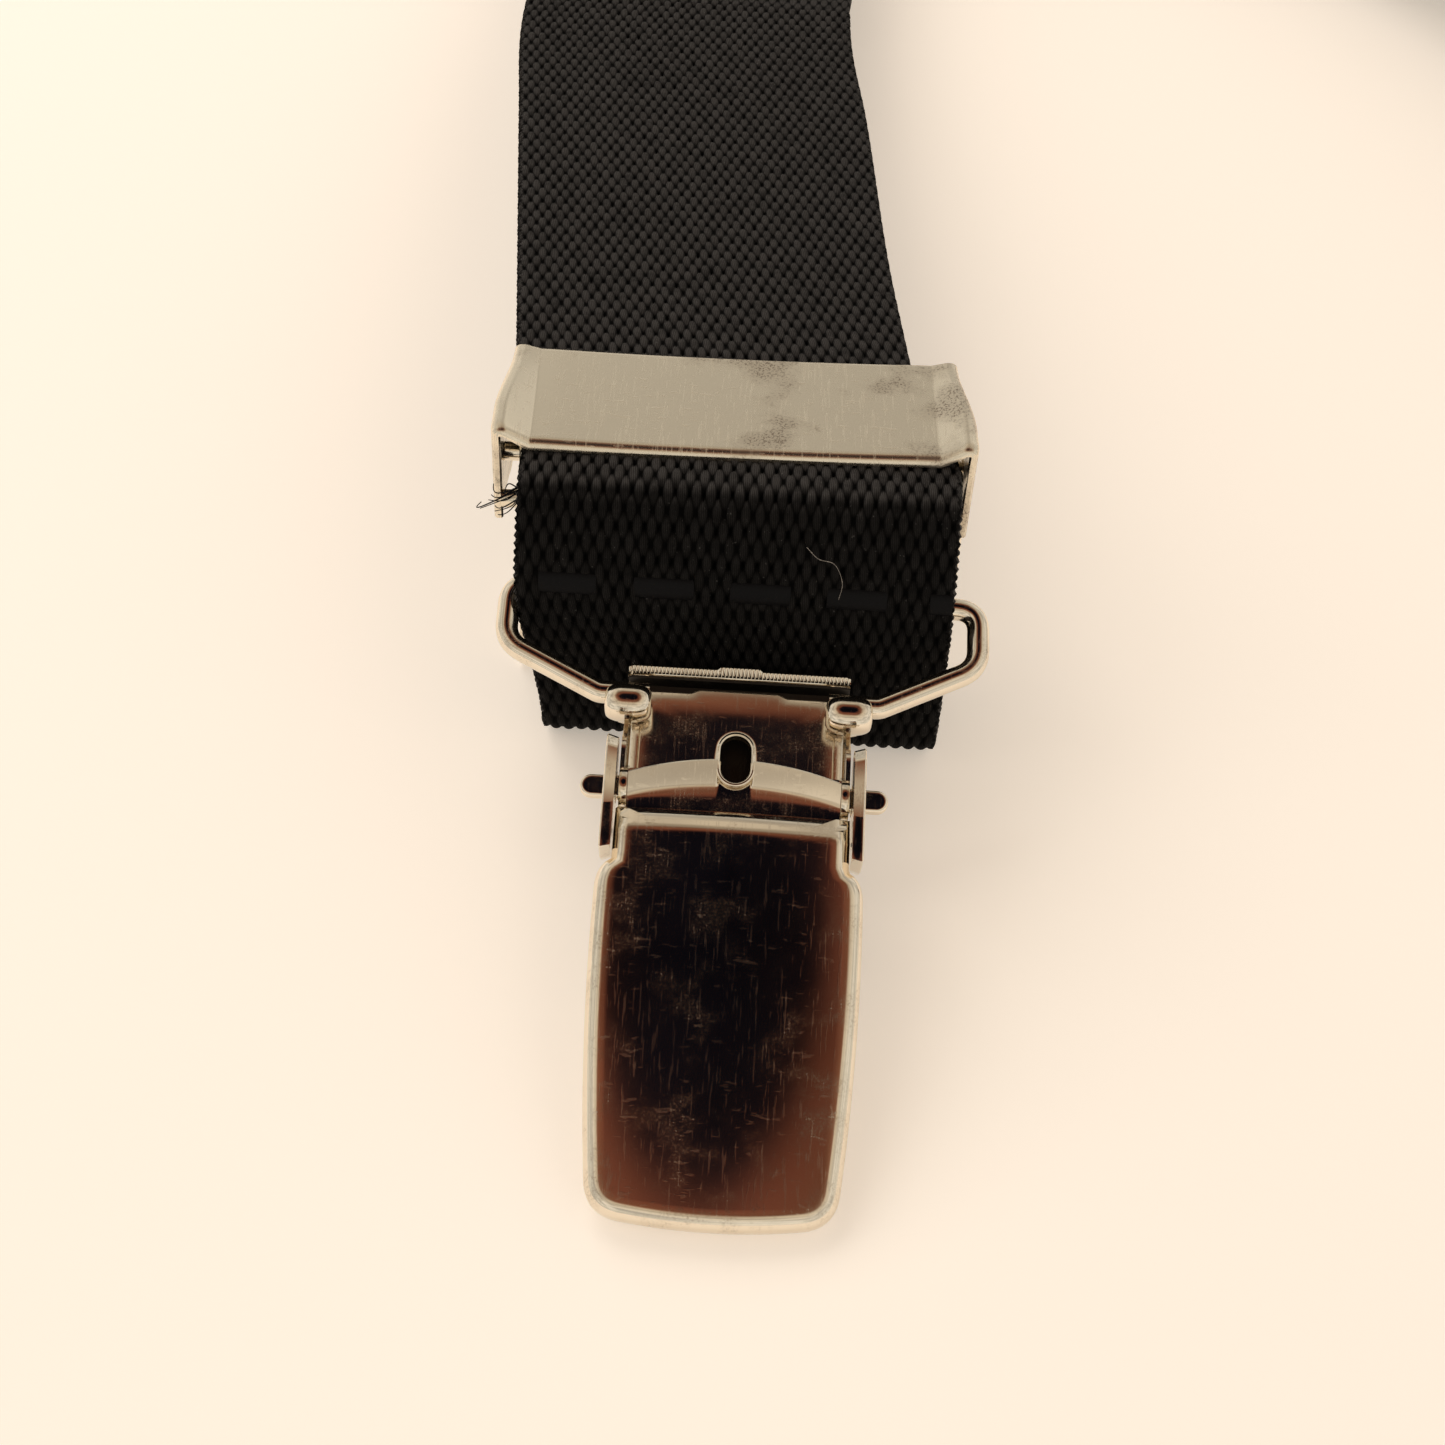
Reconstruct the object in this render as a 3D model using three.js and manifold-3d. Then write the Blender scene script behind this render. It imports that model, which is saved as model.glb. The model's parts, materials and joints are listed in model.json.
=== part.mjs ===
// Y-back dress suspenders: two elastic front straps with slide adjusters, one back strap, a joining
// patch and three spring clips. The straps lie folded in stacks on a table; each front strap rises
// from its stack to its adjuster, drops into the loop that holds the clip's wire bail, and the clip
// slopes down to the table. Millimetres, +Z up, front clips toward -Y.

import * as THREE from 'three';
import { mergeVertices } from 'three/addons/utils/BufferGeometryUtils.js';
import Module from 'manifold-3d';

const wasm = await Module();
wasm.setup();

// ---- driving dimensions -------------------------------------------------------------------------

const GAP = 0.3; // clearance kept between neighbouring pieces
const STRAP_WIDTH = 35;
const STRAP_THICKNESS = 1.3;
const STRAP_LEAN = 9; // sideways drift of a front strap between its adjuster and its stack
const LAYER_GAP = 0.35; // air between the folded layers of a stack
const LAYER_LENGTH = 84; // one folded layer of a front strap
const FRONT_LAYERS = 7;
const BACK_LAYERS = 3;
const BACK_LAYER_LENGTH = 60;
const BRIDGE_SLOPE = THREE.MathUtils.degToRad(6.7); // of the strap between stack and adjuster

const WIRE_RADIUS = 0.9; // bail wire
const BAIL_LENGTH = 9.1; // bar axis to hook axis
const BAIL_SHOULDER = 5.2; // length of the straight sides before the legs turn in
const BAIL_BEND = 1.5; // bend radius of the wire's axis

const CLIP_SLOPE = THREE.MathUtils.degToRad(17); // front clips, down toward the tip
const BACK_CLIP_SLOPE = THREE.MathUtils.degToRad(6);
const SHEET = 0.6; // sheet metal of the clip
const BODY_WIDTH = 15.4; // body plate between the ears
const FRONT_JAW_WIDTH = 14.4;
const HOOK_WIDTH = 2.7;
const HOOK_REACH = 10.2; // outer face of a hook from the middle
const HOOK_TURN = 1.22 * Math.PI; // how far a hook's strip rolls round, past straight down
const HOOK_ROOT = 2.4; // hook axis to where the hook's strip joins the plate
const JAW_END = 25.2; // hook axis to the jaws' lower edges
const PIVOT_DOWN = 8.7; // hook axis to lever axis, along the clip
const PIVOT_RISE = 1.8; // hook axis to lever axis, toward the front
const FLANGE_INSET = BODY_WIDTH / 2 + 0.5; // inner face of a body flange from the middle
const EAR_INSET = FLANGE_INSET + SHEET + GAP; // inner face of a lever ear from the middle
const EAR_THICKNESS = 0.7;
const EAR_RADIUS = 3.9;
const TAB_REACH = EAR_INSET + EAR_THICKNESS + 2; // end of a trunnion tab from the middle
const TAB_HEIGHT = 0.8;
const TAB_WIDTH = 2;
const SLOT_WIDTH = 2.6;
const SLOT_LENGTH = 4.6;
const SLOT_DOWN = 4.9; // hook axis to the slot's middle
const WAIST_START = 3.2; // hook axis to where the body plate has drawn in between the ears
const WAIST_END = 5.4;
const FLANGE_START = 5.9; // hook axis to the top of the body's side flanges
const FLANGE_TAIL = 2.6; // lever axis to the lower end of the side flanges
const FLANGE_ROUND = 1.6; // radius of a side flange round the lever axis
const CROWN_INSET = 2.4; // end of the pressed-up crown from the body plate's side
const CROWN_HEIGHT = 0.5;
const LEVER_LENGTH = 34; // lever axis to lever tip
const LEVER_NECK = 2 * EAR_INSET - GAP;
const LEVER_SHOULDER = LEVER_NECK + 2.3;
const LEVER_TIP = LEVER_NECK + 0.5;
const LEVER_NECK_END = 6.2; // lever axis to where the shoulders start
const LEVER_RISE = 2.4; // lever axis to the underside of the lever plate
const LEVER_RIM = 1.7; // depth of the lever's turned-down rim
const LEVER_CORNER = 2.8;
const LEVER_HEAD = 2.6; // lever axis to the lever plate's upper edge
const SHOULDER_ROUND = 2.4; // length over which a shoulder swells to full width
const EAR_TAIL = 5.2; // lever axis to the lower end of an ear
const LEVER_LEAN = THREE.MathUtils.degToRad(3); // of the closed lever, toward the jaws
const CRESCENT_RADIUS = 2.3; // swing of the lever's crescent flange about its axis
const CRESCENT_RISE = 1.3; // how far the crescent's middle stands above its ends
const JAW_WIDTH = 17.8;
const JAW_TOP = 3.1; // hook axis up to the top lip of the rear jaw
const JAW_DEPTH = 3.4; // hook axis to the inner face of the rear jaw
const JAW_LIP = 1.9; // hook axis to the front edge of the rear jaw's top lip
const JAW_PIN_DOWN = 4.4; // hook axis to the rear jaw's pin, along the clip
const JAW_PIN_DEPTH = 4.9; // hook axis to the rear jaw's pin, toward the back
const PIN_RADIUS = 0.6;
const LUG_INSET = 6.9; // inner face of a body lug from the middle
const LUG_RADIUS = 1.3; // of a jaw lug about the pin
const BODY_LUG_RADIUS = 1.2;
const LIP_HEIGHT = 0.8; // of the rear jaw's top lip, along the clip
const JAW_NARROWS = 11; // hook axis to where the rear jaw reaches its lower width
const TEETH = 11; // along the rear jaw's lower edge
const TOOTH_DEPTH = 0.7;
const GRIP_LENGTH = 5;
const GRIP_THICKNESS = 0.5;
const SPRING_WIDTH = 6.4;
const SPRING_THICKNESS = 0.35;
const SPRING_BOW = new THREE.Vector2(-15.5, -2.75); // where the leaf spring presses on the rear jaw

const ADJUSTER_LENGTH = 14;
const ADJUSTER_THICKNESS = 0.7;
const ADJUSTER_FLANGE = 7.5; // depth of the side flanges below the plate
const ADJUSTER_SIDE_GAP = 1.2; // from the strap's edge to the flange
const ADJUSTER_CREST = 1.1; // how far the plate's ends curl up before they turn down
const RIVET_RADIUS = 0.8;
const RIVET_HEAD = 1.5;
const RIVET_HEAD_HEIGHT = 0.5;
const LOCK_PIVOT = new THREE.Vector2(4.7, -2.4); // from the strap's middle at the adjuster's lower edge
const LOCK_START = 6.2; // pivot to the cam edge of the locking lever
const LOCK_THICKNESS = 0.7;
const LOCK_OPEN = THREE.MathUtils.degToRad(-103.6); // open lever's direction from +Y, in the adjuster
const LOCK_CAM = 2.1; // height of the cam lip
const LOCK_EAR_RADIUS = 1.3;
const TAIL_BAR = new THREE.Vector2(1.1, -4.5);
const TAIL_BAR_RADIUS = 0.75;

const PATCH_LENGTH = 62;
const PATCH_WIDTH = 58;
const PATCH_THICKNESS = 1.4;
const PATCH_CORNER = 6; // length of the corner curve at the patch's ends
const STRAP_SPREAD = THREE.MathUtils.degToRad(40); // angle between the two front straps

// ---- places, worked out from the dimensions -----------------------------------------------------

const HALF_STRAP = STRAP_WIDTH / 2;
const LAYER_PITCH = STRAP_THICKNESS + LAYER_GAP;
const layerHeight = (index) => STRAP_THICKNESS / 2 + index * LAYER_PITCH;
const TOP_LAYER = layerHeight(FRONT_LAYERS - 1);

// The hook axis stands as high as the tips of lever and rear jaw let it.
const LEVER_TIP_DROP = PIVOT_RISE + LEVER_RISE + SHEET - LEVER_RIM - LEVER_LENGTH * Math.sin(LEVER_LEAN);
const hookHeight = (slope) => {
  const onLever = (PIVOT_DOWN + LEVER_LENGTH) * Math.sin(slope) - LEVER_TIP_DROP * Math.cos(slope);
  const onJaw = JAW_END * Math.sin(slope) + (JAW_DEPTH + SHEET) * Math.cos(slope);
  const onLug = JAW_PIN_DOWN * Math.sin(slope) + (JAW_PIN_DEPTH + LUG_RADIUS) * Math.cos(slope);
  return Math.max(onLever, onJaw, onLug) + GAP / 3;
};
const HOOK = new THREE.Vector2(0, hookHeight(CLIP_SLOPE));
const BAR = new THREE.Vector2(
  HOOK.x + BAIL_LENGTH * Math.cos(CLIP_SLOPE),
  HOOK.y + BAIL_LENGTH * Math.sin(CLIP_SLOPE),
);
const ADJUSTER = new THREE.Vector2(BAR.x + 6.3, BAR.y + 7.8); // strap's middle at the lower edge
const STACK_START = ADJUSTER.x + (ADJUSTER.y - TOP_LAYER) / Math.tan(BRIDGE_SLOPE);
const FOLD_RADIUS = 1.95; // of the strap's middle where the loop turns back under the clip
const STACK_END = STACK_START + LAYER_LENGTH;
const PATCH_STRAP = PATCH_THICKNESS + GAP + STRAP_THICKNESS / 2; // strap's middle inside the patch
const BACK_STACK_START = PATCH_LENGTH / 2 + 16;
// How far the patch reaches from its middle along a front strap.
const PATCH_REACH =
  (PATCH_LENGTH / 2) * Math.cos(STRAP_SPREAD / 2) + (PATCH_WIDTH / 2) * Math.sin(STRAP_SPREAD / 2) + 2;
const PATCH_CENTRE = STACK_END + HALF_STRAP / Math.sin(STRAP_SPREAD / 2) + 6;

// ---- materials ----------------------------------------------------------------------------------

const finish = (color, roughness, metalness) => ({ color, roughness, metalness });
const ELASTIC = finish(0x17171a, 0.9, 0);
const NICKEL = finish(0xd8cdb8, 0.18, 1);
const SATIN_NICKEL = finish(0xc9bda6, 0.34, 1);
const SPRING_STEEL = finish(0x8f8f92, 0.3, 1);
const LEATHER = finish(0x1d1a18, 0.6, 0);
const GRIP = finish(0x101010, 0.7, 0);

// ---- shared geometry helpers --------------------------------------------------------------------

/** Turn a geometry into a solid that can be joined and cut. */
function solid(geometry) {
  const bare = geometry.clone();
  bare.deleteAttribute('normal');
  bare.deleteAttribute('uv');
  const merged = mergeVertices(bare, 1e-4);
  const vertProperties = new Float32Array(merged.attributes.position.array);
  const triVerts = new Uint32Array(merged.index.array);
  return new wasm.Manifold(new wasm.Mesh({ numProp: 3, vertProperties, triVerts }));
}

/** Join all the solids of a list into one. */
const join = (solids) => solids.reduce((whole, piece) => whole.add(piece));

/** Turn a solid back into a geometry. */
function geometryOf(body) {
  const mesh = body.getMesh();
  const geometry = new THREE.BufferGeometry();
  geometry.setAttribute('position', new THREE.BufferAttribute(new Float32Array(mesh.vertProperties), 3));
  geometry.setIndex(new THREE.BufferAttribute(new Uint32Array(mesh.triVerts), 1));
  geometry.computeVertexNormals();
  return geometry;
}

/** A profile in (y, z), extruded along x between two places. */
function acrossX(shape, from, to, curveSegments = 6) {
  const geometry = new THREE.ExtrudeGeometry(shape, { depth: to - from, bevelEnabled: false, curveSegments });
  const basis = new THREE.Matrix4().makeBasis(
    new THREE.Vector3(0, 1, 0),
    new THREE.Vector3(0, 0, 1),
    new THREE.Vector3(1, 0, 0),
  );
  return geometry.applyMatrix4(basis.setPosition(from, 0, 0));
}

/** A profile in (x, z), extruded along y between two places. */
function alongY(shape, from, to) {
  const geometry = new THREE.ExtrudeGeometry(shape, { depth: to - from, bevelEnabled: false });
  const basis = new THREE.Matrix4().makeBasis(
    new THREE.Vector3(1, 0, 0),
    new THREE.Vector3(0, 0, 1),
    new THREE.Vector3(0, -1, 0),
  );
  return geometry.applyMatrix4(basis.setPosition(0, to, 0));
}

/** An outline in (x, y), extruded along z between two heights. */
function alongZ(shape, from, to, curveSegments = 6) {
  const geometry = new THREE.ExtrudeGeometry(shape, { depth: to - from, bevelEnabled: false, curveSegments });
  return geometry.translate(0, 0, from);
}

/** A box given by its low and high corners. */
function block(low, high) {
  const size = high.map((value, axis) => value - low[axis]);
  const middle = high.map((value, axis) => (value + low[axis]) / 2);
  return new THREE.BoxGeometry(...size).translate(...middle);
}

/** A round rod along x. */
function rodX(radius, from, to, y, z, sides = 16) {
  const rod = new THREE.CylinderGeometry(radius, radius, to - from, sides);
  return rod.rotateZ(Math.PI / 2).translate((from + to) / 2, y, z);
}

/** The outline of a strip of even thickness whose middle follows a path. */
function strip(points, thickness) {
  const near = [];
  const far = [];
  points.forEach((point, index) => {
    const before = points[Math.max(index - 1, 0)];
    const after = points[Math.min(index + 1, points.length - 1)];
    const first = point.clone().sub(index ? before : point).normalize();
    const second = after.clone().sub(index < points.length - 1 ? point : before).normalize();
    const along = first.add(second).normalize();
    const bend = index && index < points.length - 1
      ? Math.max(0.5, along.dot(after.clone().sub(point).normalize()))
      : 1;
    const side = new THREE.Vector2(-along.y, along.x).multiplyScalar(thickness / 2 / bend);
    near.push(point.clone().add(side));
    far.unshift(point.clone().sub(side));
  });
  return new THREE.Shape([...near, ...far]);
}

/** Points along an arc, both ends included. */
function arcPoints(centre, radius, from, to, steps) {
  return Array.from({ length: steps + 1 }, (_, step) => {
    const angle = from + ((to - from) * step) / steps;
    return new THREE.Vector2(centre.x + radius * Math.cos(angle), centre.y + radius * Math.sin(angle));
  });
}

/** An outline that is the same left and right, from the points of its right half. */
function mirrored(half) {
  const right = half.map(([x, y]) => new THREE.Vector2(x, y));
  const left = half.map(([x, y]) => new THREE.Vector2(-x, y)).reverse();
  return new THREE.Shape([...right, ...left]);
}

/** A closed outline moved inward by an even distance. */
function insetOutline(points, distance) {
  const ring = points.filter((point, index) => !index || point.distanceTo(points[index - 1]) > 1e-6);
  if (ring[0].distanceTo(ring[ring.length - 1]) < 1e-6) {
    ring.pop();
  }
  const inward = THREE.ShapeUtils.area(ring) > 0 ? 1 : -1;
  return ring.map((point, index) => {
    const into = point.clone().sub(ring[(index + ring.length - 1) % ring.length]).normalize();
    const out = ring[(index + 1) % ring.length].clone().sub(point).normalize();
    const along = into.clone().add(out).normalize();
    const stretch = Math.max(0.4, along.dot(out));
    const sideways = new THREE.Vector2(-along.y, along.x).multiplyScalar((inward * distance) / stretch);
    return point.clone().add(sideways);
  });
}

/** A round wire along straight runs joined by bends. */
function wire(corners, radius) {
  const path = new THREE.CurvePath();
  let last = corners[0];
  for (let index = 1; index < corners.length - 1; index += 1) {
    const corner = corners[index];
    const into = corner.clone().sub(corners[index - 1]).normalize();
    const out = corners[index + 1].clone().sub(corner).normalize();
    const cut = BAIL_BEND * Math.tan(into.angleTo(out) / 2);
    const from = corner.clone().addScaledVector(into, -cut);
    const to = corner.clone().addScaledVector(out, cut);
    path.add(new THREE.LineCurve3(last, from));
    path.add(new THREE.QuadraticBezierCurve3(from, corner, to));
    last = to;
  }
  path.add(new THREE.LineCurve3(last, corners[corners.length - 1]));
  const section = new THREE.Shape(arcPoints(new THREE.Vector2(), radius, 0, 2 * Math.PI, 10).slice(1));
  const steps = Math.round(path.getLength() / 1.3);
  return new THREE.ExtrudeGeometry(section, { steps, extrudePath: path });
}

/** A rounded outline of the given size about a middle. */
function obround(width, height, x, y) {
  const radius = Math.min(width, height) / 2;
  const shape = new THREE.Shape();
  const upright = height > width;
  const run = upright ? height / 2 - radius : width / 2 - radius;
  const [dx, dy] = upright ? [0, run] : [run, 0];
  const start = upright ? 0 : -Math.PI / 2;
  shape.absarc(x + dx, y + dy, radius, start, start + Math.PI, false);
  shape.absarc(x - dx, y - dy, radius, start + Math.PI, start + 2 * Math.PI, false);
  return shape;
}

/** A named mesh with its own material. */
function piece(name, geometry, look) {
  const mesh = new THREE.Mesh(geometry, new THREE.MeshStandardMaterial(look));
  mesh.name = name;
  return mesh;
}

// ---- spring clip --------------------------------------------------------------------------------
// In a clip's own frame the hook axis is the x axis, the clip runs down toward -y and its front
// faces +z. Places down the clip are given as positive distances and negated here.

const HOOK_OUTER = WIRE_RADIUS + GAP + SHEET;
const HOOK_INNER = WIRE_RADIUS + GAP;

/** One hook: an open ring rolled up from the plate's top edge round the bail wire. */
function hook(side) {
  const centre = new THREE.Vector2(0, 0);
  const middle = (HOOK_OUTER + HOOK_INNER) / 2;
  const ring = arcPoints(centre, middle, -Math.PI / 2, HOOK_TURN, 14).reverse();
  ring.push(new THREE.Vector2(-HOOK_ROOT, -middle));
  const inner = HOOK_REACH - HOOK_WIDTH;
  const [from, to] = side > 0 ? [inner, HOOK_REACH] : [-HOOK_REACH, -inner];
  return solid(acrossX(strip(ring, SHEET), from, to));
}

/** Body plate: hooks, upper plate with its slot, side flanges with trunnion tabs, and front jaw. */
function bodyPlate() {
  const top = -(HOOK_INNER + HOOK_OUTER) / 2;
  const low = top - SHEET / 2;
  const high = top + SHEET / 2;
  const half = BODY_WIDTH / 2;
  const jawHalf = FRONT_JAW_WIDTH / 2;
  const flange = FLANGE_INSET + SHEET;
  const outline = mirrored([
    [HOOK_REACH - HOOK_WIDTH - 0.6, 0.3],
    [HOOK_REACH - HOOK_WIDTH, -0.4],
    [HOOK_REACH, -0.4],
    [HOOK_REACH, -HOOK_ROOT],
    [half, -WAIST_START],
    [half, -WAIST_END],
    [flange, -FLANGE_START],
    [flange, -PIVOT_DOWN - FLANGE_TAIL],
    [jawHalf, -PIVOT_DOWN - FLANGE_TAIL - 1],
    [jawHalf, 1 - JAW_END],
    [jawHalf - 1, -JAW_END],
  ]);
  const flat = solid(alongZ(outline, low, high));
  const slot = solid(alongZ(obround(SLOT_WIDTH, SLOT_LENGTH, 0, -SLOT_DOWN), low - 1, high + 1, 8));
  const raised = new THREE.Shape([
    new THREE.Vector2(-1.5, low),
    new THREE.Vector2(-1.5, high + 0.1),
    new THREE.Vector2(-0.2, high + CROWN_HEIGHT),
    new THREE.Vector2(0.3, high + CROWN_HEIGHT),
    new THREE.Vector2(0.3, low),
  ]);
  const crown = solid(acrossX(raised, -half + CROWN_INSET, half - CROWN_INSET));
  const flangeShape = new THREE.Shape();
  flangeShape.moveTo(-FLANGE_START - 0.2, low + 0.1);
  flangeShape.lineTo(-PIVOT_DOWN - FLANGE_TAIL + 0.2, low + 0.1);
  flangeShape.lineTo(-PIVOT_DOWN - FLANGE_ROUND, PIVOT_RISE);
  flangeShape.absarc(-PIVOT_DOWN, PIVOT_RISE, FLANGE_ROUND, Math.PI, 0, true);
  flangeShape.lineTo(-FLANGE_START - 0.2, 0);
  const parts = [flat.subtract(slot), crown, hook(-1), hook(1)];
  for (const side of [-1, 1]) {
    const reach = (from, to) => (side > 0 ? [from, to] : [-to, -from]);
    parts.push(solid(acrossX(flangeShape, ...reach(FLANGE_INSET, FLANGE_INSET + SHEET), 5)));
    const tab = obround(TAB_WIDTH, TAB_HEIGHT, -PIVOT_DOWN, PIVOT_RISE);
    parts.push(solid(acrossX(tab, ...reach(FLANGE_INSET + 0.1, TAB_REACH), 6)));
    const lug = new THREE.Shape();
    lug.moveTo(-JAW_PIN_DOWN + BODY_LUG_RADIUS, high - 0.1);
    lug.lineTo(-JAW_PIN_DOWN + BODY_LUG_RADIUS, -JAW_PIN_DEPTH);
    lug.absarc(-JAW_PIN_DOWN, -JAW_PIN_DEPTH, BODY_LUG_RADIUS, 0, Math.PI, true);
    lug.lineTo(-JAW_PIN_DOWN - BODY_LUG_RADIUS, high - 0.1);
    const bore = new THREE.Path();
    bore.absarc(-JAW_PIN_DOWN, -JAW_PIN_DEPTH, PIN_RADIUS + GAP / 2, 0, 2 * Math.PI);
    lug.holes.push(bore);
    parts.push(solid(acrossX(lug, ...reach(LUG_INSET, LUG_INSET + SHEET), 5)));
  }
  return geometryOf(join(parts));
}

/** Lever: plate with turned-down rim, ridge, crescent flange and two ears, about its own axis. */
function lever() {
  const under = LEVER_RISE;
  const neck = LEVER_NECK / 2;
  const shoulder = LEVER_SHOULDER / 2;
  const tip = LEVER_TIP / 2;
  const outline = new THREE.Shape();
  outline.moveTo(-neck, -LEVER_HEAD);
  outline.lineTo(-neck, -LEVER_NECK_END);
  const widest = -LEVER_NECK_END - SHOULDER_ROUND;
  outline.quadraticCurveTo(-shoulder, -LEVER_NECK_END - 0.5, -shoulder, widest);
  outline.quadraticCurveTo(-shoulder - 0.1, -LEVER_LENGTH * 0.6, -tip, -LEVER_LENGTH + LEVER_CORNER);
  outline.quadraticCurveTo(-tip + 0.2, -LEVER_LENGTH + 0.3, -tip + LEVER_CORNER, -LEVER_LENGTH);
  outline.quadraticCurveTo(0, -LEVER_LENGTH - 0.7, tip - LEVER_CORNER, -LEVER_LENGTH);
  outline.quadraticCurveTo(tip - 0.2, -LEVER_LENGTH + 0.3, tip, -LEVER_LENGTH + LEVER_CORNER);
  outline.quadraticCurveTo(shoulder + 0.1, -LEVER_LENGTH * 0.6, shoulder, widest);
  outline.quadraticCurveTo(shoulder, -LEVER_NECK_END - 0.5, neck, -LEVER_NECK_END);
  outline.lineTo(neck, -LEVER_HEAD);
  const full = solid(alongZ(outline, under + SHEET - LEVER_RIM, under + SHEET, 8));
  const inset = new THREE.Shape(insetOutline(outline.getPoints(8), SHEET));
  const dish = solid(alongZ(inset, under + SHEET - LEVER_RIM - 1, under));
  const open = solid(block([-neck + 0.05, -LEVER_NECK_END, -LEVER_RIM], [neck - 0.05, 0, under]));
  const ridgeProfile = strip([
    new THREE.Vector2(-3.2, under + SHEET / 2),
    new THREE.Vector2(-2.5, under + SHEET / 2 - 0.05),
    new THREE.Vector2(-1.9, under - 0.35),
    new THREE.Vector2(-1.6, 1.2),
    new THREE.Vector2(-1.2, 0.85),
    new THREE.Vector2(-0.2, 0.9),
    new THREE.Vector2(CRESCENT_RADIUS - 0.3, 1.1),
  ], SHEET);
  const crescentHalf = FLANGE_INSET - GAP;
  const ridge = solid(acrossX(ridgeProfile, -crescentHalf, crescentHalf));
  const arc = new THREE.Shape();
  arc.moveTo(-crescentHalf - 1, -4);
  arc.lineTo(-crescentHalf - 1, CRESCENT_RADIUS - CRESCENT_RISE - 0.3);
  arc.quadraticCurveTo(
    0,
    CRESCENT_RADIUS + CRESCENT_RISE - 0.3,
    crescentHalf + 1,
    CRESCENT_RADIUS - CRESCENT_RISE - 0.3,
  );
  arc.lineTo(crescentHalf + 1, -4);
  const crescent = ridge.intersect(solid(alongZ(arc, -1, 4, 16)));
  const notch = solid(alongZ(obround(SLOT_WIDTH, 2.6, 0, CRESCENT_RADIUS - 1.85), -1, 2, 8));
  const ears = [-1, 1].map((side) => {
    const ear = new THREE.Shape();
    ear.moveTo(-EAR_TAIL, under + SHEET);
    ear.lineTo(-5.6, 0.2);
    ear.quadraticCurveTo(-5.4, -1.9, -3.2, -2.3);
    ear.quadraticCurveTo(EAR_RADIUS * 0.6, -2.6, EAR_RADIUS, -0.2);
    ear.quadraticCurveTo(EAR_RADIUS * 1.1, 2.2, EAR_RADIUS * 0.5, 2.6);
    ear.lineTo(-LEVER_HEAD, under + SHEET);
    ear.holes.push(new THREE.Path().absarc(0, 0, TAB_WIDTH / 2 + GAP, 0, 2 * Math.PI));
    const [from, to] = side > 0
      ? [EAR_INSET, EAR_INSET + EAR_THICKNESS]
      : [-EAR_INSET - EAR_THICKNESS, -EAR_INSET];
    const cheek = block(
      [side > 0 ? neck - 1.2 : -EAR_INSET - 0.3, -EAR_TAIL, under],
      [side > 0 ? EAR_INSET + 0.3 : -neck + 1.2, -LEVER_HEAD, under + SHEET],
    );
    return solid(acrossX(ear, from, to, 6)).add(solid(cheek));
  });
  const body = join([full.subtract(dish).subtract(open), crescent.subtract(notch), ...ears]);
  return geometryOf(body);
}

/** Rear jaw: plate with top lip, folded-in side lugs and a toothed lower edge. */
function rearJaw() {
  const half = JAW_WIDTH / 2;
  const lower = FRONT_JAW_WIDTH / 2;
  const front = -JAW_DEPTH;
  const back = front - SHEET;
  const outline = mirrored([
    [half, JAW_TOP],
    [half, -1.2],
    [LUG_INSET - GAP, -JAW_PIN_DOWN + LUG_RADIUS + 0.8],
    [LUG_INSET - GAP, -JAW_PIN_DOWN - LUG_RADIUS - 1],
    [lower + 0.8, -JAW_PIN_DOWN - LUG_RADIUS - 2],
    [lower, -JAW_NARROWS],
    [lower, 0.4 - JAW_END],
  ]);
  const plate = solid(alongZ(outline, back, front));
  const lip = solid(block([-half, JAW_TOP - LIP_HEIGHT, back], [half, JAW_TOP, -JAW_LIP]));
  const bump = solid(block([-1.6, JAW_TOP - 0.4, back + 0.3], [1.6, JAW_TOP + 0.2, -JAW_LIP - 0.15]));
  const pitch = (2 * lower) / TEETH;
  const root = -JAW_END + 0.4;
  const comb = new THREE.Shape([
    new THREE.Vector2(-lower, root + 0.6),
    ...Array.from({ length: TEETH }, (_, tooth) => [
      new THREE.Vector2(-lower + tooth * pitch, root),
      new THREE.Vector2(-lower + (tooth + 0.5) * pitch, root - TOOTH_DEPTH),
    ]).flat(),
    new THREE.Vector2(lower, root),
    new THREE.Vector2(lower, root + 0.6),
  ]);
  const teeth = solid(alongZ(comb, back, front));
  const lugs = [-1, 1].map((side) => {
    const from = LUG_INSET - GAP - SHEET;
    const [low, high] = side > 0 ? [from, from + SHEET] : [-from - SHEET, -from];
    const lug = new THREE.Shape();
    lug.moveTo(-JAW_PIN_DOWN + LUG_RADIUS, back + 0.1);
    lug.lineTo(-JAW_PIN_DOWN + LUG_RADIUS, -JAW_PIN_DEPTH);
    lug.absarc(-JAW_PIN_DOWN, -JAW_PIN_DEPTH, LUG_RADIUS, 0, Math.PI, true);
    lug.lineTo(-JAW_PIN_DOWN - LUG_RADIUS, back + 0.1);
    const bore = new THREE.Path();
    bore.absarc(-JAW_PIN_DOWN, -JAW_PIN_DEPTH, PIN_RADIUS + GAP, 0, 2 * Math.PI);
    lug.holes.push(bore);
    return solid(acrossX(lug, low, high, 5));
  });
  return geometryOf(join([plate, lip, bump, teeth, ...lugs]));
}

/** Hinge pin of the rear jaw, with a head on each end. */
function jawPin() {
  const reach = LUG_INSET + SHEET + GAP;
  const at = [-JAW_PIN_DOWN, -JAW_PIN_DEPTH];
  const heads = [-1, 1].map((side) => {
    const [from, to] = side > 0 ? [reach, reach + 0.5] : [-reach - 0.5, -reach];
    return solid(rodX(PIN_RADIUS * 1.6, from, to, ...at, 14));
  });
  return geometryOf(join([solid(rodX(PIN_RADIUS, -reach, reach, ...at, 14)), ...heads]));
}

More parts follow.
